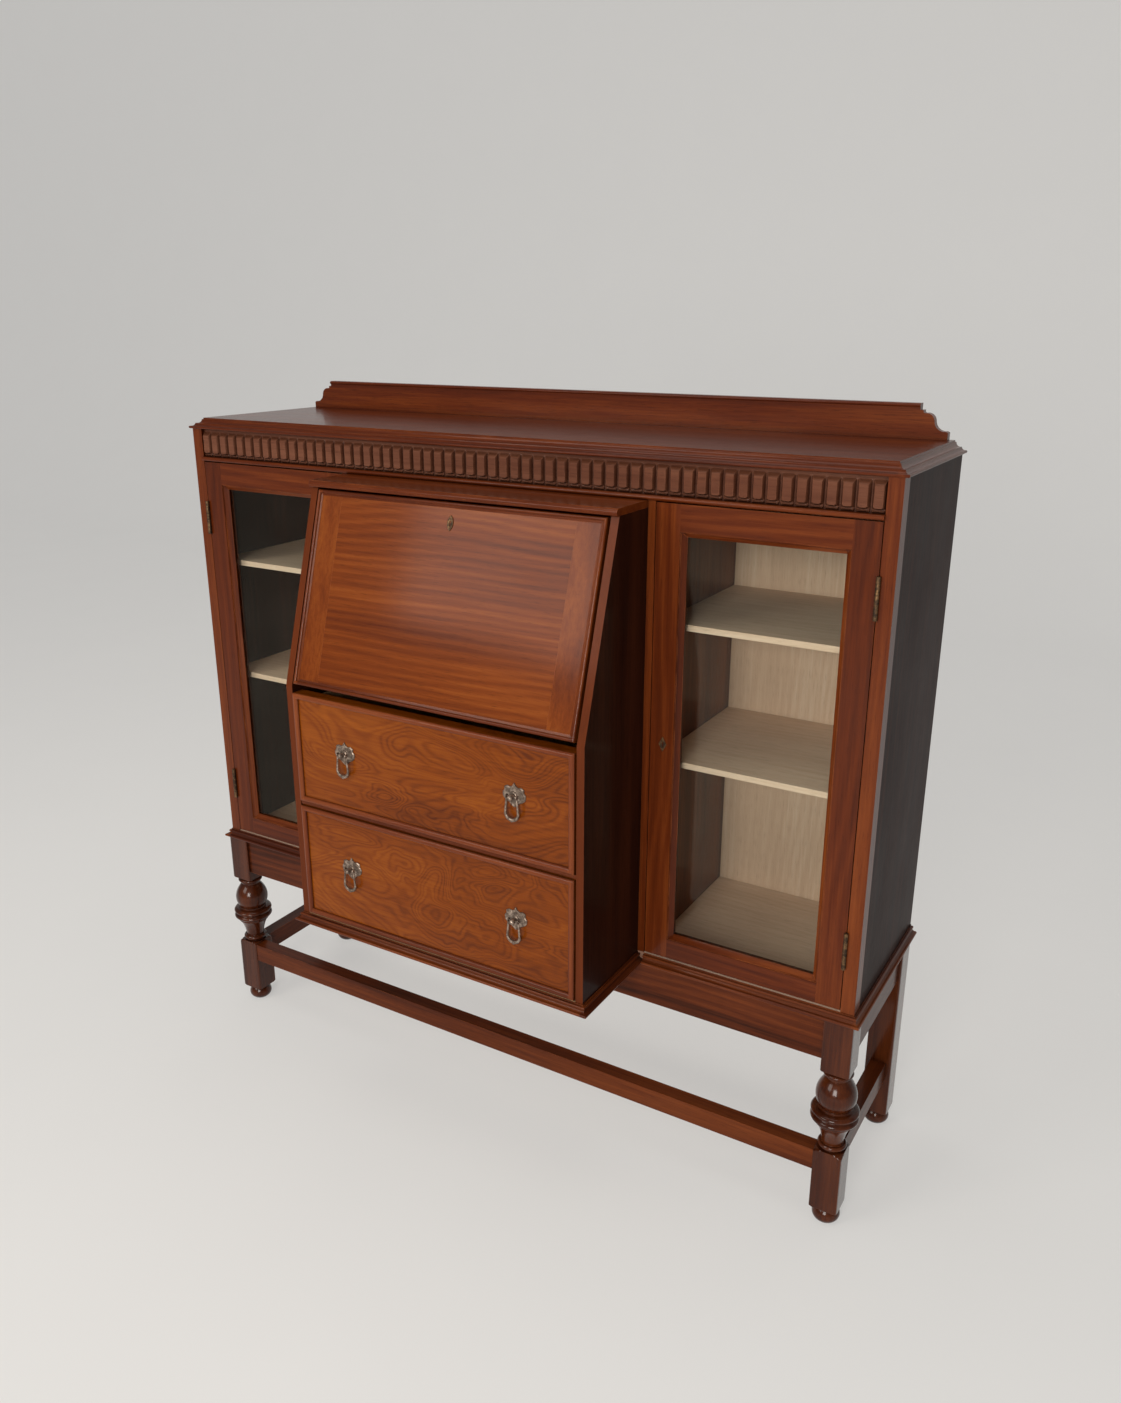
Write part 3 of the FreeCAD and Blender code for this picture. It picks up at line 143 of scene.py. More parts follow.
class Graph:
    """Node tree of one material or of the world."""

    def __init__(self, owner: Any) -> None:
        """Empty the owner's node tree and keep it."""
        owner.use_nodes = True
        self.tree = owner.node_tree
        self.tree.nodes.clear()

    def node(self, kind: str, settings: dict | None = None, inputs: dict | None = None) -> bpy.types.Node:
        """Add a node.

        Args:
            kind: the node's type.
            settings: its own settings, set first; "stops" fills a ramp with (place, colour) pairs.
            inputs: values, Values or sockets by the input's name or number.

        Returns:
            The node.
        """
        node = self.tree.nodes.new(kind)
        for name, value in (settings or {}).items():
            if name == "stops":
                ramp = node.color_ramp
                while len(ramp.elements) < len(value):
                    ramp.elements.new(0.5)
                for element, (place, colour) in zip(ramp.elements, value):
                    element.position = place
                    element.color = (*colour, 1.0)
            else:
                setattr(node, name, value)
        for name, value in (inputs or {}).items():
            socket = node.inputs[name]
            if isinstance(value, Value):
                self.tree.links.new(value.socket, socket)
            elif isinstance(value, bpy.types.NodeSocket):
                self.tree.links.new(value, socket)
            elif isinstance(value, tuple) and socket.type == "RGBA":
                socket.default_value = (*value, 1.0)
            else:
                socket.default_value = value
        return node

    def math(self, kind: str, first: "Value | float", second: "Value | float") -> Value:
        """Add one Math node and wrap its result."""
        node = self.node("ShaderNodeMath", {"operation": kind}, {0: first, 1: second})
        return Value(self, node.outputs[0])

    def vector(self, kind: str, first: Any, second: Any) -> bpy.types.NodeSocket:
        """Add one Vector Math node on two vectors."""
        return self.node("ShaderNodeVectorMath", {"operation": kind}, {0: first, 1: second}).outputs[0]

    def point(self) -> bpy.types.NodeSocket:
        """Object coordinates, in metres of the shared frame."""
        return self.node("ShaderNodeTexCoord").outputs["Object"]

    def parts(self, vector: Any) -> list[Value]:
        """Split a vector into its three numbers."""
        node = self.node("ShaderNodeSeparateXYZ", None, {0: vector})
        return [Value(self, output) for output in node.outputs]

    def join(self, x: Any, y: Any, z: Any) -> bpy.types.NodeSocket:
        """Make a vector of three numbers."""
        return self.node("ShaderNodeCombineXYZ", None, {0: x, 1: y, 2: z}).outputs[0]

    def noise(self, vector: Any, stretch: Sequence[float], detail: float = 2.0, rough: float = 0.5,
              twist: float = 0.0) -> Value:
        """Noise in 0..1 over a stretched vector.

        Args:
            vector: the point.
            stretch: cells per metre along each part of the vector.
            detail: octaves.
            rough: weight of the finer octaves.
            twist: distortion.

        Returns:
            The noise.
        """
        scaled = self.vector("MULTIPLY", vector, tuple(stretch))
        node = self.node("ShaderNodeTexNoise", None, {
            "Vector": scaled, "Scale": 1.0, "Detail": detail, "Roughness": rough, "Distortion": twist})
        return Value(self, node.outputs[0])

    def mix(self, factor: Any, first: Any, second: Any, blend: str = "MIX") -> bpy.types.NodeSocket:
        """Mix two colours by a factor."""
        node = self.node("ShaderNodeMix", {"data_type": "RGBA", "blend_type": blend},
                         {0: factor, 6: first, 7: second})
        return node.outputs[2]

    def blend_vectors(self, factor: Any, first: Any, second: Any) -> bpy.types.NodeSocket:
        """Mix two vectors by a factor."""
        node = self.node("ShaderNodeMix", {"data_type": "VECTOR"}, {0: factor, 4: first, 5: second})
        return node.outputs[1]

    def ramp(self, value: Value, *stops: tuple[float, Colour]) -> bpy.types.NodeSocket:
        """Colour ramp over a value."""
        return self.node("ShaderNodeValToRGB", {"stops": stops}, {0: value}).outputs[0]

    def soft_edge(self, radius: float) -> tuple[bpy.types.NodeSocket, Value]:
        """Normal rounded over edges, and how much an edge turns it.

        Args:
            radius: reach of the rounding.

        Returns:
            The rounded normal and the turn, 0 on flats.
        """
        rounded = self.node("ShaderNodeBevel", {"samples": 4}, {"Radius": radius}).outputs[0]
        flat = self.node("ShaderNodeNewGeometry").outputs["Normal"]
        dot = self.node("ShaderNodeVectorMath", {"operation": "DOT_PRODUCT"}, {0: rounded, 1: flat})
        return rounded, 1.0 - Value(self, dot.outputs["Value"])

    def recess(self, reach: float) -> Value:
        """Openness of the surface: 1 in the open, 0 deep in a groove."""
        node = self.node("ShaderNodeAmbientOcclusion", {"samples": 4, "only_local": False},
                         {"Distance": reach})
        return Value(self, node.outputs["AO"])

    def bump(self, height: Value, strength: float, reach: float, normal: Any = None) -> bpy.types.NodeSocket:
        """Normal tilted by a height."""
        inputs = {"Height": height, "Strength": strength, "Distance": reach}
        if normal is not None:
            inputs["Normal"] = normal
        return self.node("ShaderNodeBump", None, inputs).outputs[0]

    def surface(self, shader: Any) -> None:
        """Send a shader to the material's output."""
        self.node("ShaderNodeOutputMaterial", None, {"Surface": shader})


def new_material(name: str) -> tuple[bpy.types.Material, Graph]:
    """Make an empty material and its graph."""
    material = bpy.data.materials.new(name)
    return material, Graph(material)


# ---- finishes ------------------------------------------------------------------------------------
@dataclass(frozen=True)
class Board:
    """Block of space, mirrored left and right, in which the grain turns.

    Attributes:
        low: lowest corner, on the right-hand side.
        high: highest corner.
    """

    low: Colour
    high: Colour

    def mask(self, graph: Graph, point: list[Value]) -> Value:
        """1 inside the block and 0 outside.

        Args:
            graph: the graph to add to.
            point: the three numbers of the point.

        Returns:
            The mask.
        """
        place = (point[0].size(), point[1], point[2])
        inside: Value | None = None
        for value, low, high in zip(place, self.low, self.high):
            tests = ((value.above(low),) if low > -9 else ()) + ((value.below(high),) if high < 9 else ())
            for test in tests:
                inside = test if inside is None else inside * test
        return inside


@dataclass(frozen=True)
class Wood:
    """Polished or bare wood.

    Attributes:
        dark: colour of the dark bands.
        middle: main colour.
        light: colour of the light bands.
        grain: way the grain runs.
        turned: way it runs inside the boards.
        boards: blocks in which the grain turns.
        figure: pattern of the cut.
        contrast: strength of the figure.
        polish: weight of the clear coat.
        rough: roughness of the wood under it.
        wear: strength of the rubbed edges.
        grime: strength of the painted shade that darkens grooves and recesses by ambient occlusion.
        arris: radius that the edges are rounded to.
        seed: shift of the pattern from board to board.
        gloss: specular level of the wood itself.
        paired: True where a left and a right piece need different patterns.
        facing: colour of the edges that face the front, where it differs.
    """

    dark: Colour
    middle: Colour
    light: Colour
    grain: Axis = Axis.X
    turned: Axis = Axis.Z
    boards: tuple[Board, ...] = ()
    figure: Figure = Figure.PLAIN
    contrast: float = 1.0
    polish: float = 0.5
    rough: float = 0.38
    wear: float = 0.6
    grime: float = 0.6
    arris: float = 0.9 * MM
    seed: float = 0.0
    gloss: float = 0.07
    paired: bool = False
    facing: Colour | None = None

    def along(self, graph: Graph, point: list[Value], axis: Axis) -> bpy.types.NodeSocket:
        """Vector with the grain's own direction first."""
        x, y, z = point
        order = {Axis.X: (x, y, z), Axis.Y: (y, x, z), Axis.Z: (z, y, x)}[axis]
        return graph.join(order[0], order[1] + 0.37 * axis.value, order[2])

    def grain_point(self, graph: Graph) -> bpy.types.NodeSocket:
        """Point along and across the grain, with the pattern shifted where a board turns it."""
        point = graph.parts(graph.point())
        vector = self.along(graph, point, self.grain)
        if self.boards:
            inside = self.boards[0].mask(graph, point)
            for board in self.boards[1:]:
                inside = inside.most(board.mask(graph, point))
            vector = graph.blend_vectors(inside, vector, self.along(graph, point, self.turned))
        side = point[0].above(0.0) * 1.7 if self.paired else 0.0
        return graph.vector("ADD", vector, graph.join(side, self.seed, self.seed * 0.61))

    def bands(self, graph: Graph, place: bpy.types.NodeSocket) -> Value:
        """Tone of the figure, 0..1.

        Plain cuts are stretched noise.  A flat-sawn cut is the sine of the across coordinate shifted by a
        slow noise.  A swirl is the sine of a slow noise, whose level lines close round each other.
        """
        streak = graph.noise(place, (1.3, 26, 26), 4, 0.62)
        cloud = graph.noise(place, (1.6, 4.5, 4.5), 2)
        tone = streak * 0.75 + cloud * 0.35
        if self.figure is Figure.FLAT_SAWN:
            along, across, depth = graph.parts(place)
            drift = graph.noise(place, (1.1, 3.4, 3.4), 2, 0.5)
            rings = ((depth + across) * 420.0 + drift * 60.0 + streak * 5.0).wave()
            tone = tone * 0.84 + rings * 0.10
        if self.figure is Figure.SWIRL:
            field = graph.noise(place, (4.6, 9.5, 9.5), 1.8, 0.4, 1.1)
            line = graph.noise(place, (14, 22, 22), 2)
            fine = (field * 170.0 + line * 5.0).wave() ** 2.0
            broad = (field * 40.0 + line * 2.0).wave()
            tone = cloud * 0.55 + streak * 0.35 + 0.08 - fine * (line * 0.24) + broad * 0.07
        return tone

    def build(self, name: str) -> bpy.types.Material:
        """Make the material.

        Args:
            name: its name.

        Returns:
            The material.
        """
        material, graph = new_material(name)
        place = self.grain_point(graph)
        tone = self.bands(graph, place)
        fibre = graph.noise(place, (9, 330, 330), 3, 0.6)
        pores = graph.noise(place, (48, 1500, 1500), 1).smooth(0.6, 0.72)
        tone = (tone - 0.52) * (1.6 * self.contrast) + 0.5 + (fibre - 0.5) * 0.45
        colour = graph.ramp(tone, (0.1, self.dark), (0.5, self.middle), (0.92, self.light))
        colour = graph.mix(pores * 0.4, colour, tuple(c * 0.35 for c in self.dark))
        if self.facing:
            flat = graph.parts(graph.node("ShaderNodeNewGeometry").outputs["Normal"])
            colour = graph.mix((flat[1] * -1.0).smooth(0.6, 0.85) * (tone * 0.6 + 0.5), colour, self.facing)
        rounded, turn = graph.soft_edge(self.arris)
        patchy = graph.noise(place, (22, 60, 60), 3, 0.6)
        worn = (turn.smooth(0.015, 0.16) * patchy.smooth(0.36, 0.66) * self.wear).least(1.0)
        rubbed = tuple(min(1.0, 1.9 * c + 0.05 * k) for c, k in zip(self.light, (1.0, 0.42, 0.2)))
        colour = graph.mix(worn, colour, rubbed)
        # Painted shade: the colour darkens towards a dark tone where ambient occlusion finds grooves and
        # recesses.
        if self.grime > 0:
            painted_shade = (1.0 - graph.recess(14 * MM).smooth(0.25, 0.9)) * self.grime
            colour = graph.mix(painted_shade, colour, tuple(c * 0.16 for c in self.dark))
        smear = graph.noise(place, (7, 11, 11), 3, 0.6)
        rough = smear * 0.16 + (self.rough - 0.08) + worn * 0.12 + pores * 0.1
        ripple = graph.noise(place, (14, 34, 34), 2)
        height = ripple * 0.9 + fibre * 0.10 - pores * 0.06
        normal = graph.bump(height, 0.30, 0.5 * MM, rounded)
        shader = graph.node("ShaderNodeBsdfPrincipled", None, {
            "Base Color": colour, "Roughness": rough, "Normal": normal,
            "Coat Weight": (smear * 0.3 + (self.polish - 0.15)) if self.polish > 0.2 else self.polish,
            "Coat Roughness": 0.12, "Coat IOR": 1.3, "Specular IOR Level": self.gloss})
        graph.surface(shader.outputs[0])
        return material


@dataclass(frozen=True)
class Metal:
    """Aged metal, dark in its hollows and rubbed bright on its edges.

    Attributes:
        bright: rubbed colour.
        dull: colour of the patina.
        rough: roughness of the rubbed metal.
        stipple: depth of the punched ground.
        age: how much patina covers it.
    """

    bright: Colour
    dull: Colour
    rough: float = 0.28
    stipple: float = 0.0
    age: float = 0.8

    def build(self, name: str) -> bpy.types.Material:
        """Make the material of that name."""
        material, graph = new_material(name)
        point = graph.point()
        rounded, turn = graph.soft_edge(0.6 * MM)
        cloud = graph.noise(point, (140, 140, 140), 3, 0.6)
        open_face = graph.recess(4 * MM)
        patina = (1.0 - turn.smooth(0.02, 0.2)) * cloud.smooth(0.25, 0.62) * self.age
        patina = patina.most((1.0 - open_face.smooth(0.35, 0.95)) * self.age)
        colour = graph.mix(patina, self.bright, self.dull)
        grit = graph.node("ShaderNodeTexVoronoi", None, {"Vector": point, "Scale": 900.0}).outputs[0]
        height = cloud * 0.4 + Value(graph, grit) * self.stipple
        shader = graph.node("ShaderNodeBsdfPrincipled", None, {
            "Base Color": colour, "Metallic": 1.0 - patina * 0.35, "Roughness": patina * 0.3 + self.rough,
            "Normal": graph.bump(height, 0.35, 0.3 * MM, rounded)})
        graph.surface(shader.outputs[0])
        return material


@dataclass(frozen=True)
class Glass:
    """Old drawn window glass: clear, faintly rippled, with a little dust.

    Attributes:
        tint: colour that it lets through.
        dust: veil in smears.
    """

    tint: Colour = (0.93, 0.95, 0.93)
    dust: float = 0.012

    def build(self, name: str) -> bpy.types.Material:
        """Make the material of that name."""
        material, graph = new_material(name)
        point = graph.point()
        ripple = graph.noise(point, (9, 9, 3.5), 1)
        smear = graph.noise(point, (6, 6, 9), 3, 0.5)
        normal = graph.bump(ripple, 0.15, 1.2 * MM)
        gleam = graph.node("ShaderNodeBsdfPrincipled", None, {
            "Base Color": (0.45, 0.40, 0.34), "Roughness": 0.04, "Normal": normal,
            "Specular IOR Level": 1.0, "Metallic": 1.0})
        clear = graph.node("ShaderNodeBsdfTransparent", None, {"Color": self.tint})
        slant = Value(graph, graph.node("ShaderNodeLayerWeight", None, {"Blend": 0.5}).outputs["Facing"])
        factor = slant ** 5.0 * 0.9 + 0.03 + smear.smooth(0.45, 0.8) * self.dust
        mixed = graph.node("ShaderNodeMixShader", None,
                           {0: factor, 1: clear.outputs[0], 2: gleam.outputs[0]})
        graph.surface(mixed.outputs[0])
        return material


RED_MAHOGANY = Wood(dark=(0.026, 0.0038, 0.0010), middle=(0.098, 0.0172, 0.0026),
                    light=(0.200, 0.0460, 0.0080))
# Near-black mahogany. On the side panels and bureau sides this darkness is painted shade; the legs and rails
# set their own middle and light colours.
DARK_MAHOGANY = Wood(dark=(0.007, 0.0018, 0.0010), middle=(0.022, 0.0048, 0.0020),
                     light=(0.052, 0.0125, 0.0045),
                     polish=0.3)
VENEER = Wood(dark=(0.072, 0.0125, 0.0008), middle=(0.172, 0.0360, 0.0014), light=(0.280, 0.0720, 0.0040),
              figure=Figure.FLAT_SAWN, grime=0.3, wear=0.4, polish=0.45)
# Pale plywood: the wood's own light tone, raised further as painted light to brighten the cupboard
# interiors.
PLY = Wood(dark=(0.58, 0.395, 0.275), middle=(0.76, 0.555, 0.420), light=(0.86, 0.690, 0.560),
           polish=0.0, rough=0.62,
           figure=Figure.FLAT_SAWN, contrast=0.5, wear=0.0, grime=0.2)
LINING = Wood(dark=(0.19, 0.105, 0.052), middle=(0.30, 0.18, 0.095), light=(0.40, 0.26, 0.15), polish=0.0,
              rough=0.6, contrast=0.7, wear=0.0, grime=0.4)
BRASS = Metal(bright=(0.60, 0.40, 0.19), dull=(0.060, 0.036, 0.020))
DARK_BRASS = Metal(bright=(0.26, 0.150, 0.070), dull=(0.030, 0.017, 0.010), age=1.0, rough=0.34)
BRONZE = Metal(bright=(0.50, 0.39, 0.31), dull=(0.075, 0.050, 0.037), stipple=1.0, age=0.9)
STEEL = Metal(bright=(0.55, 0.54, 0.52), dull=(0.16, 0.14, 0.125), rough=0.3, age=0.6)


# ---- mesh helpers --------------------------------------------------------------------------------
def corners(node: str) -> np.ndarray:
    """Lowest and highest corner of a CAD node, as two rows."""
    return np.array([tuple(c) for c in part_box(node)])


def sweep(profile: np.ndarray, turns: int) -> np.ndarray:
    """Surface of revolution about Z: each profile point (radius, height) goes round a circle.

    Args:
        profile: rows of radius and height.
        turns: points round the circle.

    Returns:
        Grid of points, height first and angle second.
    """
    angle = np.linspace(0.0, 2 * math.pi, turns, endpoint=False)
    radius, height = profile[:, :1], profile[:, 1:]
    return np.stack([radius * np.cos(angle), radius * np.sin(angle), height + 0 * angle], axis=-1)


def arc(start: Sequence[float], through: Sequence[float], end: Sequence[float],
        count: int = 9) -> np.ndarray:
    """Points on the parabola through three points, by Lagrange weights over 0, 1/2 and 1."""
    t = np.linspace(0.0, 1.0, count)[:, None]
    first, middle, last = (np.array(p, float) for p in (start, through, end))
    return (1 - t) * (1 - 2 * t) * first + 4 * t * (1 - t) * middle + t * (2 * t - 1) * last


class Shell:
    """Grids of points gathered into one mesh."""

    def __init__(self) -> None:
        """Start empty."""
        self.points: list[np.ndarray] = []
        self.faces: list[np.ndarray] = []
        self.total = 0

    def grid(self, points: np.ndarray, wrap: bool = False, caps: bool = False) -> "Shell":
        """Add a grid of points as quads.

        Args:
            points: rows by columns by three.
            wrap: join the last column to the first.
            caps: close the first and last row with a face each.

        Returns:
            This shell.
        """
        rows, columns = points.shape[:2]
        index = np.arange(rows * columns).reshape(rows, columns) + self.total
        if wrap:
            index = np.concatenate([index, index[:, :1]], axis=1)
        quads = np.stack([index[:-1, :-1], index[:-1, 1:], index[1:, 1:], index[1:, :-1]], axis=-1)
        self.faces += [quads.reshape(-1, 4)]
        if caps:
            self.faces += [index[:1, :columns], index[-1:, :columns][:, ::-1]]
        self.points.append(points.reshape(-1, 3))
        self.total += rows * columns
        return self

    def piece(self, name: str, material: bpy.types.Material, angle: float = 35.0) -> bpy.types.Object:
        """Make the object: doubles merged, faces outward, edges sharp above an angle.

        Args:
            name: the piece's name.
            material: its finish.
            angle: degrees above which an edge stays sharp.

        Returns:
            The object.
        """
        mesh = bpy.data.meshes.new(name)
        faces = [face for block in self.faces for face in block.tolist()]
        mesh.from_pydata(np.concatenate(self.points).tolist(), [], faces)
        work = bmesh.new()
        work.from_mesh(mesh)
        bmesh.ops.remove_doubles(work, verts=work.verts, dist=1e-6)
        bmesh.ops.recalc_face_normals(work, faces=work.faces)
        work.to_mesh(mesh)
        work.free()
        mesh.polygons.foreach_set("use_smooth", np.ones(len(mesh.polygons), bool))
        mesh.set_sharp_from_angle(angle=math.radians(angle))
        mesh.materials.append(material)
        made = bpy.data.objects.new(name, mesh)
        bpy.context.scene.collection.objects.link(made)
        return made


def dress(finish: Wood | Metal | Glass, *nodes: str, **changes: Any) -> None:
    """Give CAD nodes a finish.

    Args:
        finish: the finish.
        nodes: names of the nodes.
        changes: fields that differ on these nodes.
    """
    if changes:
        finish = replace(finish, **changes)
    material = finish.build(nodes[0] + "_finish")
    for node in nodes:
        mesh = frame["nodes"][node].data
        mesh.materials.clear()
        mesh.materials.append(material)
        LOG.info("dressed %s", node)


# ---- top and frieze --------------------------------------------------------------------------------
@dataclass
class Frieze:
    """Carved frieze: upright bars with chamfered flanks, a faceted head and a scooped toe.

    Attributes:
        bars: number of bars.
        relief: height of a bar's face.
        rows: points up the carving.
        columns: points across one bar.
    """

    bars: int = 60
    relief: float = 5.5 * MM
    rows: int = 38
    columns: int = 24

    def carving(self) -> np.ndarray:
        """Height field of the carving.

        A bar's height is the least of a flank ramp across it, a slope under its head that leans more
        towards the flanks, and a round scoop at its toe.
        """
        low, high = corners("carved_frieze")
        across = np.linspace(0.0, self.bars, self.bars * self.columns + 1)
        x = low[0] + (high[0] - low[0]) * across / self.bars
        z = np.linspace(low[2], low[2] + 41 * MM, self.rows)
        offset = np.abs(across - np.floor(across) - 0.5)[None, :]
        above = ((z - low[2]) / MM)[:, None]
        flank = (0.45 - offset) / 0.15
        head = (40.4 - above) / 5.5
        scoop = 1.0 - np.clip(1.0 - ((above - 3.6 - 9.0 * offset ** 2) / 2.6) ** 2, 0, 1) ** 0.5 * 0.8
        foot = (above - 1.0) / 1.2
        height = np.clip(np.minimum(np.minimum(flank, head), np.minimum(scoop, foot)), 0.0, 1.0)
        rib = np.clip(1.0 - np.abs(offset - 0.485) / 0.015, 0, 1) * 0.3 * (above > 3) * (above < 38)
        height = np.maximum(height, rib)
        y = low[1] + self.relief * (1.0 - height)
        full = np.broadcast_to
        return np.stack([full(x[None, :], y.shape), y, full(z[:, None], y.shape)], axis=-1)

    def build(self) -> None:
        """Replace the plain bars with the carved face and a board behind it."""
        low, high = corners("carved_frieze")
        face = self.carving()
        rim = face[[0, -1]].copy()
        back = face.copy()[:2]
        back[0, :, 1] = high[1]
        back[0, :, 2] = face[0, 0, 2]
        back[1, :, 1] = high[1]
        back[1, :, 2] = high[2]
        crown = face[-1].copy()
        crown[:, 1] = low[1] + self.relief
        crown[:, 2] = high[2]
        loop = np.concatenate([face, crown[None], back[1][None], back[0][None], rim[:1]])
        shell = Shell().grid(loop)
        for column in (0, -1):
            shell.grid(np.stack([loop[:self.rows, column], loop[[self.rows + 2] * self.rows, column]]))
        # The carving's grooves get strong painted shade.
        wood = replace(RED_MAHOGANY, dark=(0.045, 0.0085, 0.0040), middle=(0.115, 0.0400, 0.0210),
                       light=(0.20, 0.080, 0.045), grime=0.95, wear=0.9, arris=0.8 * MM, rough=0.3)
        made = shell.piece("carved_frieze_face", wood.build("carved_frieze_finish"), 24)
        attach(made, "carcass")
        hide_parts("carved_frieze")
        LOG.info("built %s", made.name)


@dataclass
class Case:
    """Top, gallery, posts, sides, shelves and back.

    Attributes:
        edge: width of the moulded edge of the top.
    """

    edge: float = 18 * MM

    def build(self) -> None:
        """Dress the boards of the case."""
        low, high = corners("top_board")
        ends = Board((high[0] - self.edge, -9, -9), (9, 9, 9))
        dress(RED_MAHOGANY, "top_board", boards=(ends,), turned=Axis.Y, figure=Figure.FLAT_SAWN,
              contrast=0.7,
              middle=(0.090, 0.0165, 0.0040), rough=0.34, polish=0.4, grime=0.3)
        dress(RED_MAHOGANY, "gallery", seed=3.1, middle=(0.095, 0.0165, 0.0040))
        dress(RED_MAHOGANY, "frieze_bead", seed=5.3)
        dress(RED_MAHOGANY, "corner_stile_left", "corner_stile_right", grain=Axis.Z, seed=7.7, paired=True)
        dress(RED_MAHOGANY, "partition_left", "partition_right", grain=Axis.Z, seed=9.1, paired=True)
        # Painted shade: the side panels' near-black colour stands for the shade on sides turned away from
        # the key light.
        dress(DARK_MAHOGANY, "side_panel_left", "side_panel_right", grain=Axis.Z, seed=2.2, polish=0.1,
              figure=Figure.FLAT_SAWN, contrast=0.8, rough=0.48, paired=True, gloss=0.03)
        # The pale plywood colours of the back, bottom and shelves are partly painted light for the dim
        # cupboard interiors.
        dress(PLY, "back_panel", grain=Axis.Z, seed=4.4, middle=(0.66, 0.455, 0.335),
              dark=(0.52, 0.345, 0.245))
        dress(PLY, "case_bottom", seed=6.5, facing=(0.10, 0.018, 0.003))
        dress(PLY, "shelves_left", "shelves_right", seed=8.2)


@dataclass
class Stand:
    """Legs, aprons, stretchers and base moulding.

    Attributes:
        half: half width of the square blocks.
        turns: points round a turning.
        foot: height of the round foot, where the lower block starts.
        upper_block: height of the block over the turning.
        turning_height: height of the turning.
        shoulder: height of the rounded top of the lower block.
        chamfer: height of the chamfer at the end of a block.
        squareness: power that sets how sharp the corners of the blocks are.
        clear_of_corners: limit, in half widths, that leaves the square whole.
    """

    half: float = 21.5
    turns: int = 96
    foot: float = 28.0
    upper_block: float = 86.0
    turning_height: float = 136.0
    shoulder: float = 10.75
    chamfer: float = 1.2
    squareness: float = 28.0
    clear_of_corners: float = 1.9

    def turning(self) -> np.ndarray:
        """Profile of the vase and rings in millimetres: radius and height above the lower block."""
        runs = [arc((16.5, 0), (16.5, 1.5), (16.5, 3), 2), arc((19.5, 3), (21.5, 6.5), (19.5, 10)),
                arc((16.5, 10), (16.2, 11.5), (16.5, 13), 3), arc((16.5, 13), (20.3, 30), (27.2, 44), 16),
                arc((28, 44.2), (28.2, 47), (28, 49.8), 4), arc((31.6, 50), (35.4, 54.6), (31.6, 59.6), 11),
                arc((31.4, 60), (31.0, 60.3), (31.4, 60.6), 3),
                arc((31.6, 61), (35.4, 65.5), (31.6, 70), 11),
                arc((27, 70.4), (25, 71.2), (24.4, 73), 4), arc((24.4, 73), (29.9, 96), (18.8, 119), 22),
                arc((16.5, 121), (16.2, 123), (16.5, 125), 4), arc((19.5, 126), (22.4, 129.5), (19.5, 133)),
                arc((17.5, 134), (17.4, 135), (17.5, 136), 2)]
        return np.concatenate(runs)

    def bun(self) -> np.ndarray:
        """Profile of the round foot in millimetres."""
        return np.concatenate([[(0.0, 0.0)], arc((13.0, 0.0), (21.0, 11.0), (15.0, 25.0), 12),
                               [(13.5, 26.0), (13.5, 29.0)]])

    def square(self, heights: np.ndarray, limit: np.ndarray) -> np.ndarray:
        """Square block with rounded corners, cut to a circle where it was turned.

        The radius at an angle is that of the square, softened at its corners, or the turning's if less.

        Args:
            heights: levels of the rings.
            limit: radius of the turning at each level.

        Returns:
            Grid of points.
        """
        angle = np.linspace(0.0, 2 * math.pi, self.turns, endpoint=False)
        power = self.squareness
        edge = self.half / (np.abs(np.cos(angle)) ** power + np.abs(np.sin(angle)) ** power) ** (1 / power)
        radius = np.minimum(edge[None, :], limit[:, None])
        levels = heights[:, None] + 0 * angle
        return np.stack([radius * np.cos(angle), radius * np.sin(angle), levels], axis=-1)

    def leg(self, node: str, turned: bool, material: bpy.types.Material) -> None:
        """Build one leg in place of its CAD node.

        Args:
            node: the CAD node.
            turned: True for a front leg.
            material: its finish.
        """
        low, high = corners(node) / MM
        middle = np.array([(low[0] + high[0]) / 2, (low[1] + high[1]) / 2, 0.0])
        top = high[2]
        whole = self.half * self.clear_of_corners
        foot = [self.foot, self.foot + self.chamfer]
        foot_limits = [whole * 0.68, whole]
        if turned:
            base = top - self.upper_block - self.turning_height
            rise = base - self.shoulder
            bend = arc((0, 0), (5.4, 5.4), (self.shoulder, self.shoulder), 7)[:, 0]
            levels = np.concatenate([foot, np.linspace(31, rise, 8), rise + bend])
            limit = np.interp(levels, [*foot, rise, base], [*foot_limits, whole, self.half * 1.06])
            lower = self.square(levels, limit)
            bottom = top - self.upper_block
            levels = np.concatenate([[bottom, bottom + self.chamfer], np.linspace(top - 80, top, 6)])
            limit = np.interp(levels, [bottom, bottom + self.chamfer, top], [whole * 0.7, whole, whole])
            upper = self.square(levels, limit)
            profile = self.turning() + np.array([0.0, base])
            grids = [lower, upper, sweep(profile, self.turns)]
        else:
            levels = np.concatenate([foot, np.linspace(32, top, 12)])
            grids = [self.square(levels, np.interp(levels, [*foot, top], [*foot_limits, whole]))]
        grids.append(sweep(self.bun(), self.turns))
        shell = Shell()
        for grid in grids:
            shell.grid((grid + middle) * MM, wrap=True, caps=True)
        made = shell.piece(node + "_turned", material, 32)
        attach(made, "carcass")
        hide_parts(node)
        LOG.info("built %s", made.name)

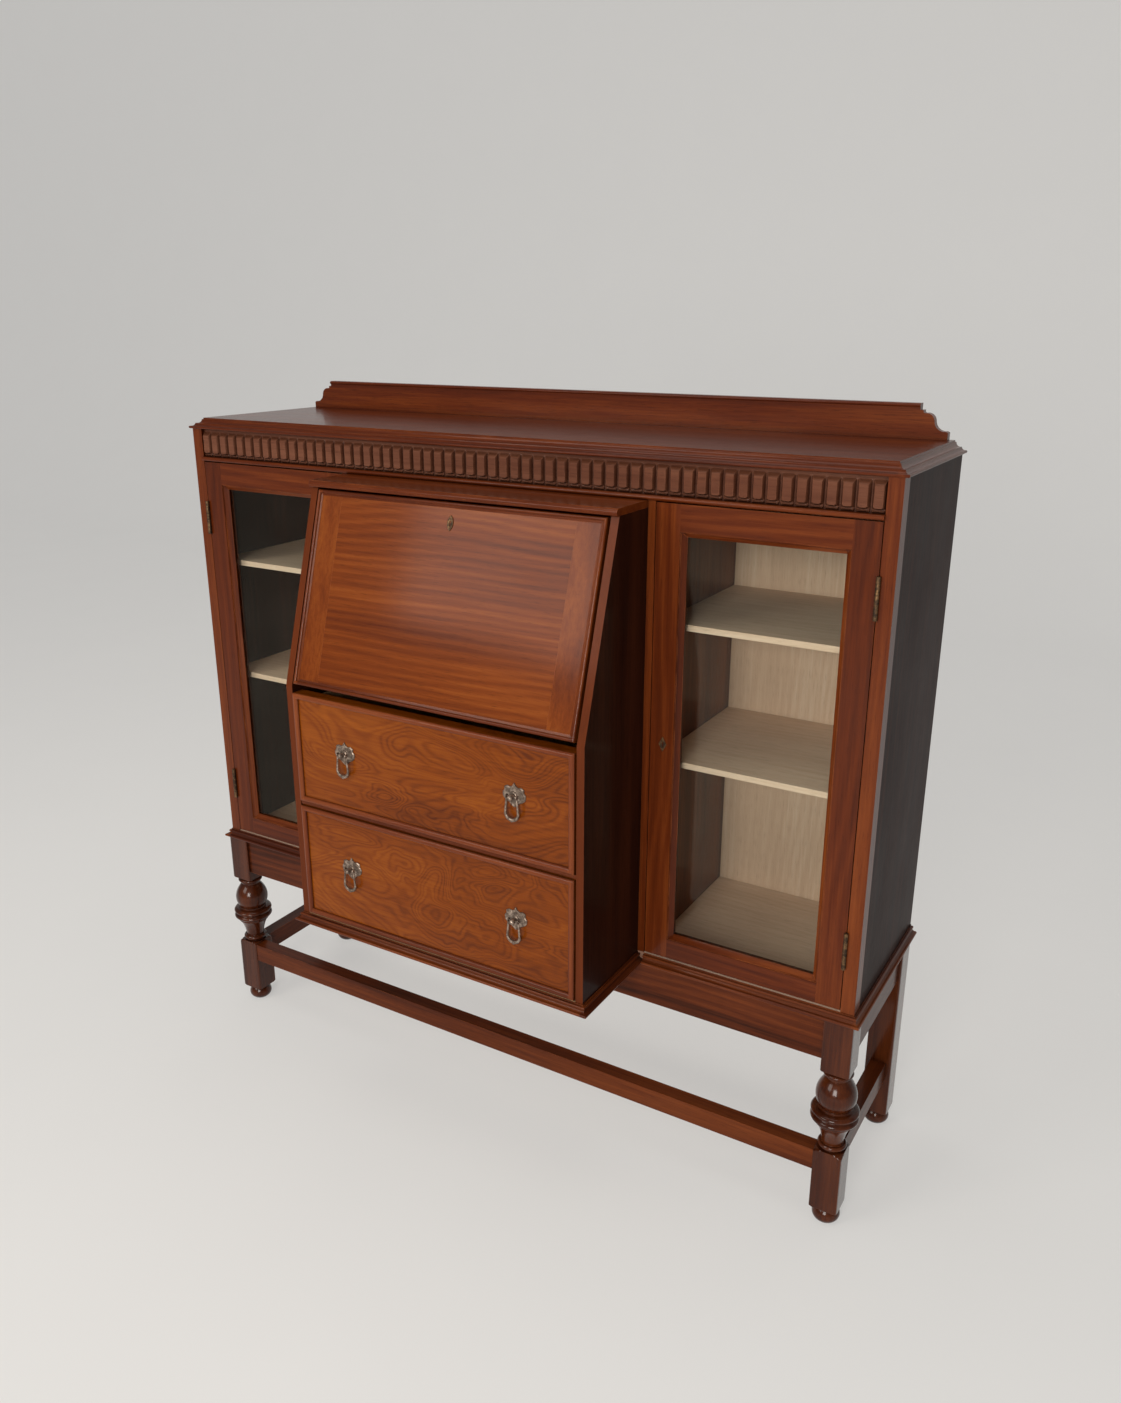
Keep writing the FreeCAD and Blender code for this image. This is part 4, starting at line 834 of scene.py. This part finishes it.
    def build(self) -> None:
        """Build the legs and dress the rails and mouldings."""
        wood = replace(DARK_MAHOGANY, grain=Axis.Z, polish=0.9, rough=0.26, wear=1.0,
                       middle=(0.050, 0.0105, 0.0030), light=(0.120, 0.0290, 0.0075), seed=1.3)
        material = wood.build("leg_finish")
        for side in ("left", "right"):
            self.leg("leg_front_" + side, True, material)
            self.leg("leg_back_" + side, False, material)
        outer = corners("leg_front_right")
        sides = Board((outer[0][0] - 0.5 * MM, outer[1][1], -9), (9, 9, 9))
        rail = replace(DARK_MAHOGANY, middle=(0.085, 0.0175, 0.0042), light=(0.175, 0.0420, 0.0095))
        dress(rail, "aprons", boards=(sides,), turned=Axis.Y, seed=1.9, figure=Figure.FLAT_SAWN)
        dress(rail, "stretchers", boards=(sides,), turned=Axis.Y, seed=2.9, wear=1.0)
        bureau = corners("bureau_side_right")
        run = corners("base_moulding")
        front = corners("corner_stile_right")[0][1]
        around = (Board((bureau[1][0], -9, -9), (bureau[1][0] + 12 * MM, front, 9)),
                  Board((run[1][0] - 11 * MM, -9, -9), (9, 9, 9)))
        dress(RED_MAHOGANY, "base_moulding", boards=around, turned=Axis.Y, seed=4.0, wear=1.0, grime=0.9,
              middle=(0.075, 0.0155, 0.0055))


@dataclass
class Bureau:
    """Sides, top, bed, nest and fall of the writing part.

    Attributes:
        edge: width of the fall's edge moulding.
    """

    edge: float = 9 * MM

    def build(self) -> None:
        """Dress the boards of the bureau."""
        # Painted shade: the bureau sides' near-black colour stands for the shade on sides turned away from
        # the key light; faces that face the front get a plain mahogany colour.
        dress(DARK_MAHOGANY, "bureau_side_left", "bureau_side_right", grain=Axis.Z, seed=3.3, polish=0.2,
              facing=(0.125, 0.026, 0.006), wear=1.0, rough=0.5, gloss=0.05)
        dress(RED_MAHOGANY, "bureau_top", seed=4.1, wear=1.0)
        dress(RED_MAHOGANY, "writing_bed", seed=4.7, figure=Figure.FLAT_SAWN)
        dress(LINING, "bureau_bottom", seed=5.5)
        front = corners("drawer_divider")
        dress(RED_MAHOGANY, "drawer_divider", seed=5.9)
        dress(LINING, "drawer_guides", grain=Axis.Y, seed=6.1)
        low, high = corners("pigeonhole_nest")
        shelf = Board((-9, -9, low[2] - MM), (9, 9, low[2] + 7.5 * MM))
        dress(RED_MAHOGANY, "pigeonhole_nest", grain=Axis.Z, turned=Axis.X, boards=(shelf,), seed=6.6,
              middle=(0.16, 0.045, 0.014), light=(0.25, 0.085, 0.03), dark=(0.08, 0.02, 0.007), polish=0.3)
        dress(RED_MAHOGANY, "fall_stop_strips", grain=Axis.Z, seed=6.9)
        veneer = replace(VENEER, middle=(0.150, 0.0290, 0.0024), dark=(0.066, 0.0098, 0.0010),
                         light=(0.250, 0.0620, 0.0070), contrast=1.1, seed=0.4)
        dress(veneer, "fall_panel")
        dress(veneer, "fall_clamps", grain=Axis.Z, seed=7.4, figure=Figure.PLAIN)
        low, high = corners("fall_edge_moulding")
        uprights = Board((high[0] - self.edge, -9, -9), (9, 9, 9))
        dress(RED_MAHOGANY, "fall_edge_moulding", boards=(uprights,), wear=1.0, seed=7.9, grime=0.9)


@dataclass
class Drawers:
    """Drawer fronts, edge mouldings, boxes and their hanging handles.

    Attributes:
        edge: width of the edge moulding.
        plate_wide: half width of a back plate.
        plate_high: half height of a back plate.
        reach: distance of the drop's pin from the drawer front.
        eye: half distance between the drop's eyes.
        bend: radius of the drop's round end.
        length: height of the drop.
        scale: size of the turned details.
    """

    edge: float = 9 * MM
    plate_wide: float = 19.0
    plate_high: float = 18.5
    reach: float = 7.8
    eye: float = 8.2
    bend: float = 10.5
    length: float = 35.0
    scale: float = 1.32

    def plate(self) -> np.ndarray:
        """Shield plate as a polar height field in millimetres.

        The outline's radius is interpolated over the angle between the points of the shield.  The
        height is a low dome with a raised rim and a ring round the stud.
        """
        wide, high = self.plate_wide, self.plate_high
        outline = np.array([(0, 1), (0.16, 0.74), (0.34, 0.64), (0.62, 0.70), (0.86, 0.56), (0.84, 0.32),
                            (1, 0.1), (0.96, -0.26), (0.72, -0.5), (0.44, -0.62), (0.2, -0.86), (0, -1)])
        outline = outline * (wide, high)
        half = np.arctan2(outline[:, 0], outline[:, 1])
        radius = np.hypot(outline[:, 0], outline[:, 1])
        angle = np.linspace(-math.pi, math.pi, 120, endpoint=False)
        rim = np.interp(np.abs(angle), half, radius)
        share = np.concatenate([np.linspace(0.0, 1.0, 22), [1.0]])[:, None]
        height = 1.5 + 0.6 * (1 - share ** 2) + 0.6 * np.exp(-((share - 0.9) / 0.05) ** 2)
        height = height + 0.6 * np.exp(-((share * rim - 6.6) / 0.7) ** 2)
        height = height + 0.35 * np.sin(7 * angle) ** 2 * np.clip(share * 3 - 1.6, 0, 1) * (share < 0.86)
        height[-2] = 0.9
        height[-1] = 0.0
        return np.stack([share * rim * np.sin(angle), -height, share * rim * np.cos(angle)], axis=-1)

    def stud(self) -> np.ndarray:
        """Turned post with collars and a round end, along -Y, in millimetres."""
        ball = np.linspace(0.9, math.pi, 14)
        profile = np.concatenate([[(5.0, 1.2), (4.8, 2.6), (3.2, 3.4), (2.8, 6.0), (3.7, 6.8), (3.7, 7.6)],
                                  np.stack([4.5 * np.sin(ball), 11.4 - 4.5 * np.cos(ball)], axis=-1)])
        grid = sweep(profile, 28)
        return grid[..., [0, 2, 1]] * (1, -1, 1)

    def drop(self) -> list[np.ndarray]:
        """Teardrop loop, its two eyes and the tip under it, in millimetres from the pin.

        The loop is a round section carried down one side, round the half circle and up the other; its radius
        swells towards the bottom.
        """
        centre = self.bend - self.length
        sides = np.linspace(0.0, 1.0, 12)[:, None]
        left = (1 - sides) * (-self.eye, -1.0) + sides * (-self.bend, centre)
        sweep_angle = np.linspace(math.pi, 2 * math.pi, 26)[1:-1]
        bow = np.stack([self.bend * np.cos(sweep_angle), centre + self.bend * np.sin(sweep_angle)], axis=-1)
        path = np.concatenate([left, bow, left[::-1] * (-1, 1)])
        slope = np.gradient(path, axis=0)
        slope /= np.linalg.norm(slope, axis=1, keepdims=True)
        across = np.stack([-slope[:, 1], slope[:, 0]], axis=-1)
        swell = np.linspace(0.0, 1.0, len(path))
        radius = (1.3 + 1.0 * np.sin(math.pi * swell) ** 3)[:, None] * self.scale / 1.15
        turn = np.linspace(0.0, 2 * math.pi, 16, endpoint=False)[None, :]
        loop = np.stack([path[:, :1] + radius * np.cos(turn) * across[:, :1], 0.85 * radius * np.sin(turn),
                         path[:, 1:] + radius * np.cos(turn) * across[:, 1:]], axis=-1)
        bead = np.linspace(0.0, math.pi, 12)
        tip = sweep(np.stack([1.75 * np.sin(bead) ** 0.8, 1.9 * np.cos(bead)], axis=-1) * self.scale, 16)
        ring_angle = np.linspace(0.0, 2 * math.pi, 20, endpoint=False)[:, None]
        ring = np.stack([0.95 * np.sin(turn) + 0 * ring_angle,
                         (1.75 + 0.8 * np.cos(turn)) * np.cos(ring_angle),
                         (1.75 + 0.8 * np.cos(turn)) * np.sin(ring_angle)], axis=-1)
        ring = np.concatenate([ring, ring[:1]]) * self.scale
        return [loop, tip + (0, 0, centre - self.bend - 1.0),
                ring + (-self.eye, 0, 0), ring + (self.eye, 0, 0)]

    def handles(self, drawer: str, material: bpy.types.Material) -> None:
        """Build both handles of a drawer in place of their CAD nodes.

        Args:
            drawer: "lower" or "upper".
            material: their finish.
        """
        face = corners(f"drawer_{drawer}_front")[0][1] / MM
        plates = Shell()
        for side in ("left", "right"):
            node = f"drawer_{drawer}_drop_{side}"
            low, high = corners(node) / MM
            pin = np.array([(low[0] + high[0]) / 2, face - self.reach, high[2] - 3.0])
            seat = np.array([pin[0], face, pin[2]])
            plates.grid((self.plate() + seat) * MM, wrap=True, caps=True)
            plates.grid((self.stud() + seat) * MM, wrap=True, caps=True)
            rod = sweep(np.array([(1.3, -10.2), (1.3, 10.2)]), 14)[..., [2, 1, 0]]
            plates.grid((rod + pin) * MM, wrap=True, caps=True)
            loop = Shell()
            for grid in self.drop():
                loop.grid((grid + pin) * MM, wrap=True, caps=len(grid) > 30)
            made = loop.piece(node + "_loop", material, 50)
            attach(made, f"handle_{drawer}_{side}")
            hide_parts(node)
            LOG.info("built %s", made.name)
        made = plates.piece(f"drawer_{drawer}_shield_plates", material, 40)
        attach(made, "drawer_" + drawer)
        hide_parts(f"drawer_{drawer}_handle_plates")
        LOG.info("built %s", made.name)

    def build(self) -> None:
        """Dress the drawers and build their handles."""
        bronze = BRONZE.build("handle_bronze")
        for seed, drawer in ((0.0, "lower"), (2.6, "upper")):
            name = "drawer_" + drawer
            dress(VENEER, name + "_front", figure=Figure.SWIRL, seed=seed, contrast=0.9)
            high = corners(name + "_edge_moulding")[1]
            uprights = Board((high[0] - self.edge, -9, -9), (9, 9, 9))
            dress(RED_MAHOGANY, name + "_edge_moulding", boards=(uprights,), seed=seed + 1, wear=1.0,
                  grime=0.8,
                  light=(0.24, 0.062, 0.016), middle=(0.13, 0.027, 0.0075))
            inner = corners(name + "_box")
            back = Board((-9, inner[1][1] - 9 * MM, -9), (9, 9, 9))
            dress(LINING, name + "_box", grain=Axis.Y, turned=Axis.X, boards=(back,), seed=seed + 3)
            self.handles(drawer, bronze)


@dataclass
class Doors:
    """Glazed doors of the cupboards.

    Attributes:
        stile: width of a stile.
        bead: width of a glazing bead.
    """

    stile: float = 36 * MM
    bead: float = 8 * MM

    def build(self) -> None:
        """Dress both doors."""
        low, high = corners("door_right_frame")
        rails = Board((low[0] + self.stile, -9, -9), (high[0] - self.stile, 9, 9))
        inner = Board((low[0] + self.stile + self.bead, -9, -9), (high[0] - self.stile - self.bead, 9, 9))
        for seed, side in ((1.1, "left"), (4.9, "right")):
            dress(RED_MAHOGANY, f"door_{side}_frame", grain=Axis.Z, turned=Axis.X, boards=(rails,),
                  seed=seed,
                  figure=Figure.FLAT_SAWN, contrast=0.8)
            dress(RED_MAHOGANY, f"door_{side}_glazing_beads", grain=Axis.Z, turned=Axis.X, boards=(inner,),
                  seed=seed + 2, wear=1.0, light=(0.26, 0.066, 0.016), grime=0.8)
        dress(Glass(), "door_left_pane", "door_right_pane")


@dataclass
class Fittings:
    """Hinges, stays, locks and key plates.

    Attributes:
        brass: finish of the inner brass pieces.
        dark: finish of the outer ones, long handled.
        steel: finish of the bolts.
    """

    brass: Metal = BRASS
    dark: Metal = DARK_BRASS
    steel: Metal = STEEL

    def build(self) -> None:
        """Dress the fittings."""
        dress(self.brass, "fall_stays", "stay_keepers")
        dress(self.dark, "fixed_hinge_leaves", "fall_fittings", "door_left_fittings", "door_right_fittings")
        dress(self.steel, "fall_lock_bolt", "door_left_lock_bolt", "door_right_lock_bolt")


@dataclass
class Studio:
    """Pale floor running up into a wall, soft lamps and the camera.

    Attributes:
        place: the camera's place.
        yaw: its turn to the left, in degrees.
        pitch: its tilt down, in degrees.
        lens: its focal length on a 36 mm long side.
    """

    place: Colour = (0.958, -1.448, 1.300)
    yaw: float = 30.88
    pitch: float = 18.71
    lens: float = 29.4

    def sweep_floor(self) -> None:
        """Floor, a quarter-round cove and a wall, as one profile carried across."""
        bow = np.linspace(-math.pi / 2, 0.0, 24)
        curve = np.stack([3.4 + 1.6 * np.cos(bow), 1.6 + 1.6 * np.sin(bow)], axis=-1)
        profile = np.concatenate([[(-9.0, 0.0)], curve,
                                  [(5.0, 8.0)]])
        across = np.linspace(-12.0, 12.0, 3)
        grid = np.stack([np.broadcast_to(across, (len(profile), 3)), np.repeat(profile[:, :1], 3, axis=1),
                         np.repeat(profile[:, 1:], 3, axis=1)], axis=-1)
        material, graph = new_material("paper")
        grain = graph.noise(graph.point(), (3, 3, 3), 2)
        colour = graph.mix(grain, (0.74, 0.73, 0.71), (0.79, 0.78, 0.76))
        shader = graph.node("ShaderNodeBsdfPrincipled", None, {"Base Color": colour, "Roughness": 0.9})
        glow = graph.node("ShaderNodeEmission", None, {"Color": (0.92, 0.91, 0.89), "Strength": 0.9})
        rays = graph.node("ShaderNodeLightPath")
        names = ("Is Camera Ray", "Is Glossy Ray", "Is Transmission Ray")
        seen = [Value(graph, rays.outputs[name]) for name in names]
        share = seen[0].most(seen[1]).most(seen[2]) * 0.5
        mixed = graph.node("ShaderNodeMixShader", None, {0: share, 1: shader.outputs[0], 2: glow.outputs[0]})
        graph.surface(mixed.outputs[0])
        made = Shell().grid(grid).piece("paper_sweep", material, 60)

    def lamp(self, name: str, place: Colour, aim: Colour, wide: float, power: float, tint: Colour) -> None:
        """Add a square area lamp.

        Args:
            name: the lamp's name.
            place: where it stands.
            aim: the point it faces.
            wide: its width.
            power: its power in watts.
            tint: its colour.
        """
        light = bpy.data.lights.new(name, "AREA")
        light.size = wide
        light.energy = power
        light.color = tint
        made = bpy.data.objects.new(name, light)
        way = np.array(aim) - np.array(place)
        made.location = place
        flat = math.hypot(way[0], way[1])
        made.rotation_euler = (math.atan2(flat, -way[2]), 0.0, math.atan2(-way[0], way[1]))
        bpy.context.scene.collection.objects.link(made)

    def build(self) -> None:
        """Set the floor, the lamps, the world and the camera."""
        self.sweep_floor()
        self.lamp("key", (-1.6, -3.2, 2.4), (0.0, 0.0, 0.6), 1.6, 46.0, (1.0, 0.95, 0.88))
        self.lamp("front", (0.9, -3.4, 1.5), (0.2, 0.0, 0.7), 1.2, 78.0, (1.0, 0.96, 0.91))
        self.lamp("above", (0.0, 0.0, 3.2), (0.0, 0.0, 1.0), 2.0, 22.0, (1.0, 0.96, 0.90))
        world = bpy.data.worlds.new("room")
        bpy.context.scene.world = world
        graph = Graph(world)
        light = graph.node("ShaderNodeBackground", None, {"Color": (1.0, 0.97, 0.93), "Strength": 0.24})
        graph.node("ShaderNodeOutputWorld", None, {"Surface": light.outputs[0]})
        camera = bpy.data.cameras.new("camera")
        camera.lens = self.lens
        camera.sensor_width = 36.0
        camera.clip_start = 0.02
        made = bpy.data.objects.new("camera", camera)
        made.location = self.place
        made.rotation_euler = (math.radians(90 - self.pitch), 0.0, math.radians(self.yaw))
        bpy.context.scene.collection.objects.link(made)
        bpy.context.scene.camera = made
        bpy.context.scene.view_settings.view_transform = "Standard"


def main() -> None:
    """Build every sub-assembly in order."""
    logging.basicConfig(level=logging.INFO, format="%(message)s")
    for part in (Case(), Frieze(), Stand(), Bureau(), Drawers(), Doors(), Fittings(), Studio()):
        LOG.info("sub-assembly %s", type(part).__name__)
        part.build()


if __name__ == "__main__":
    main()
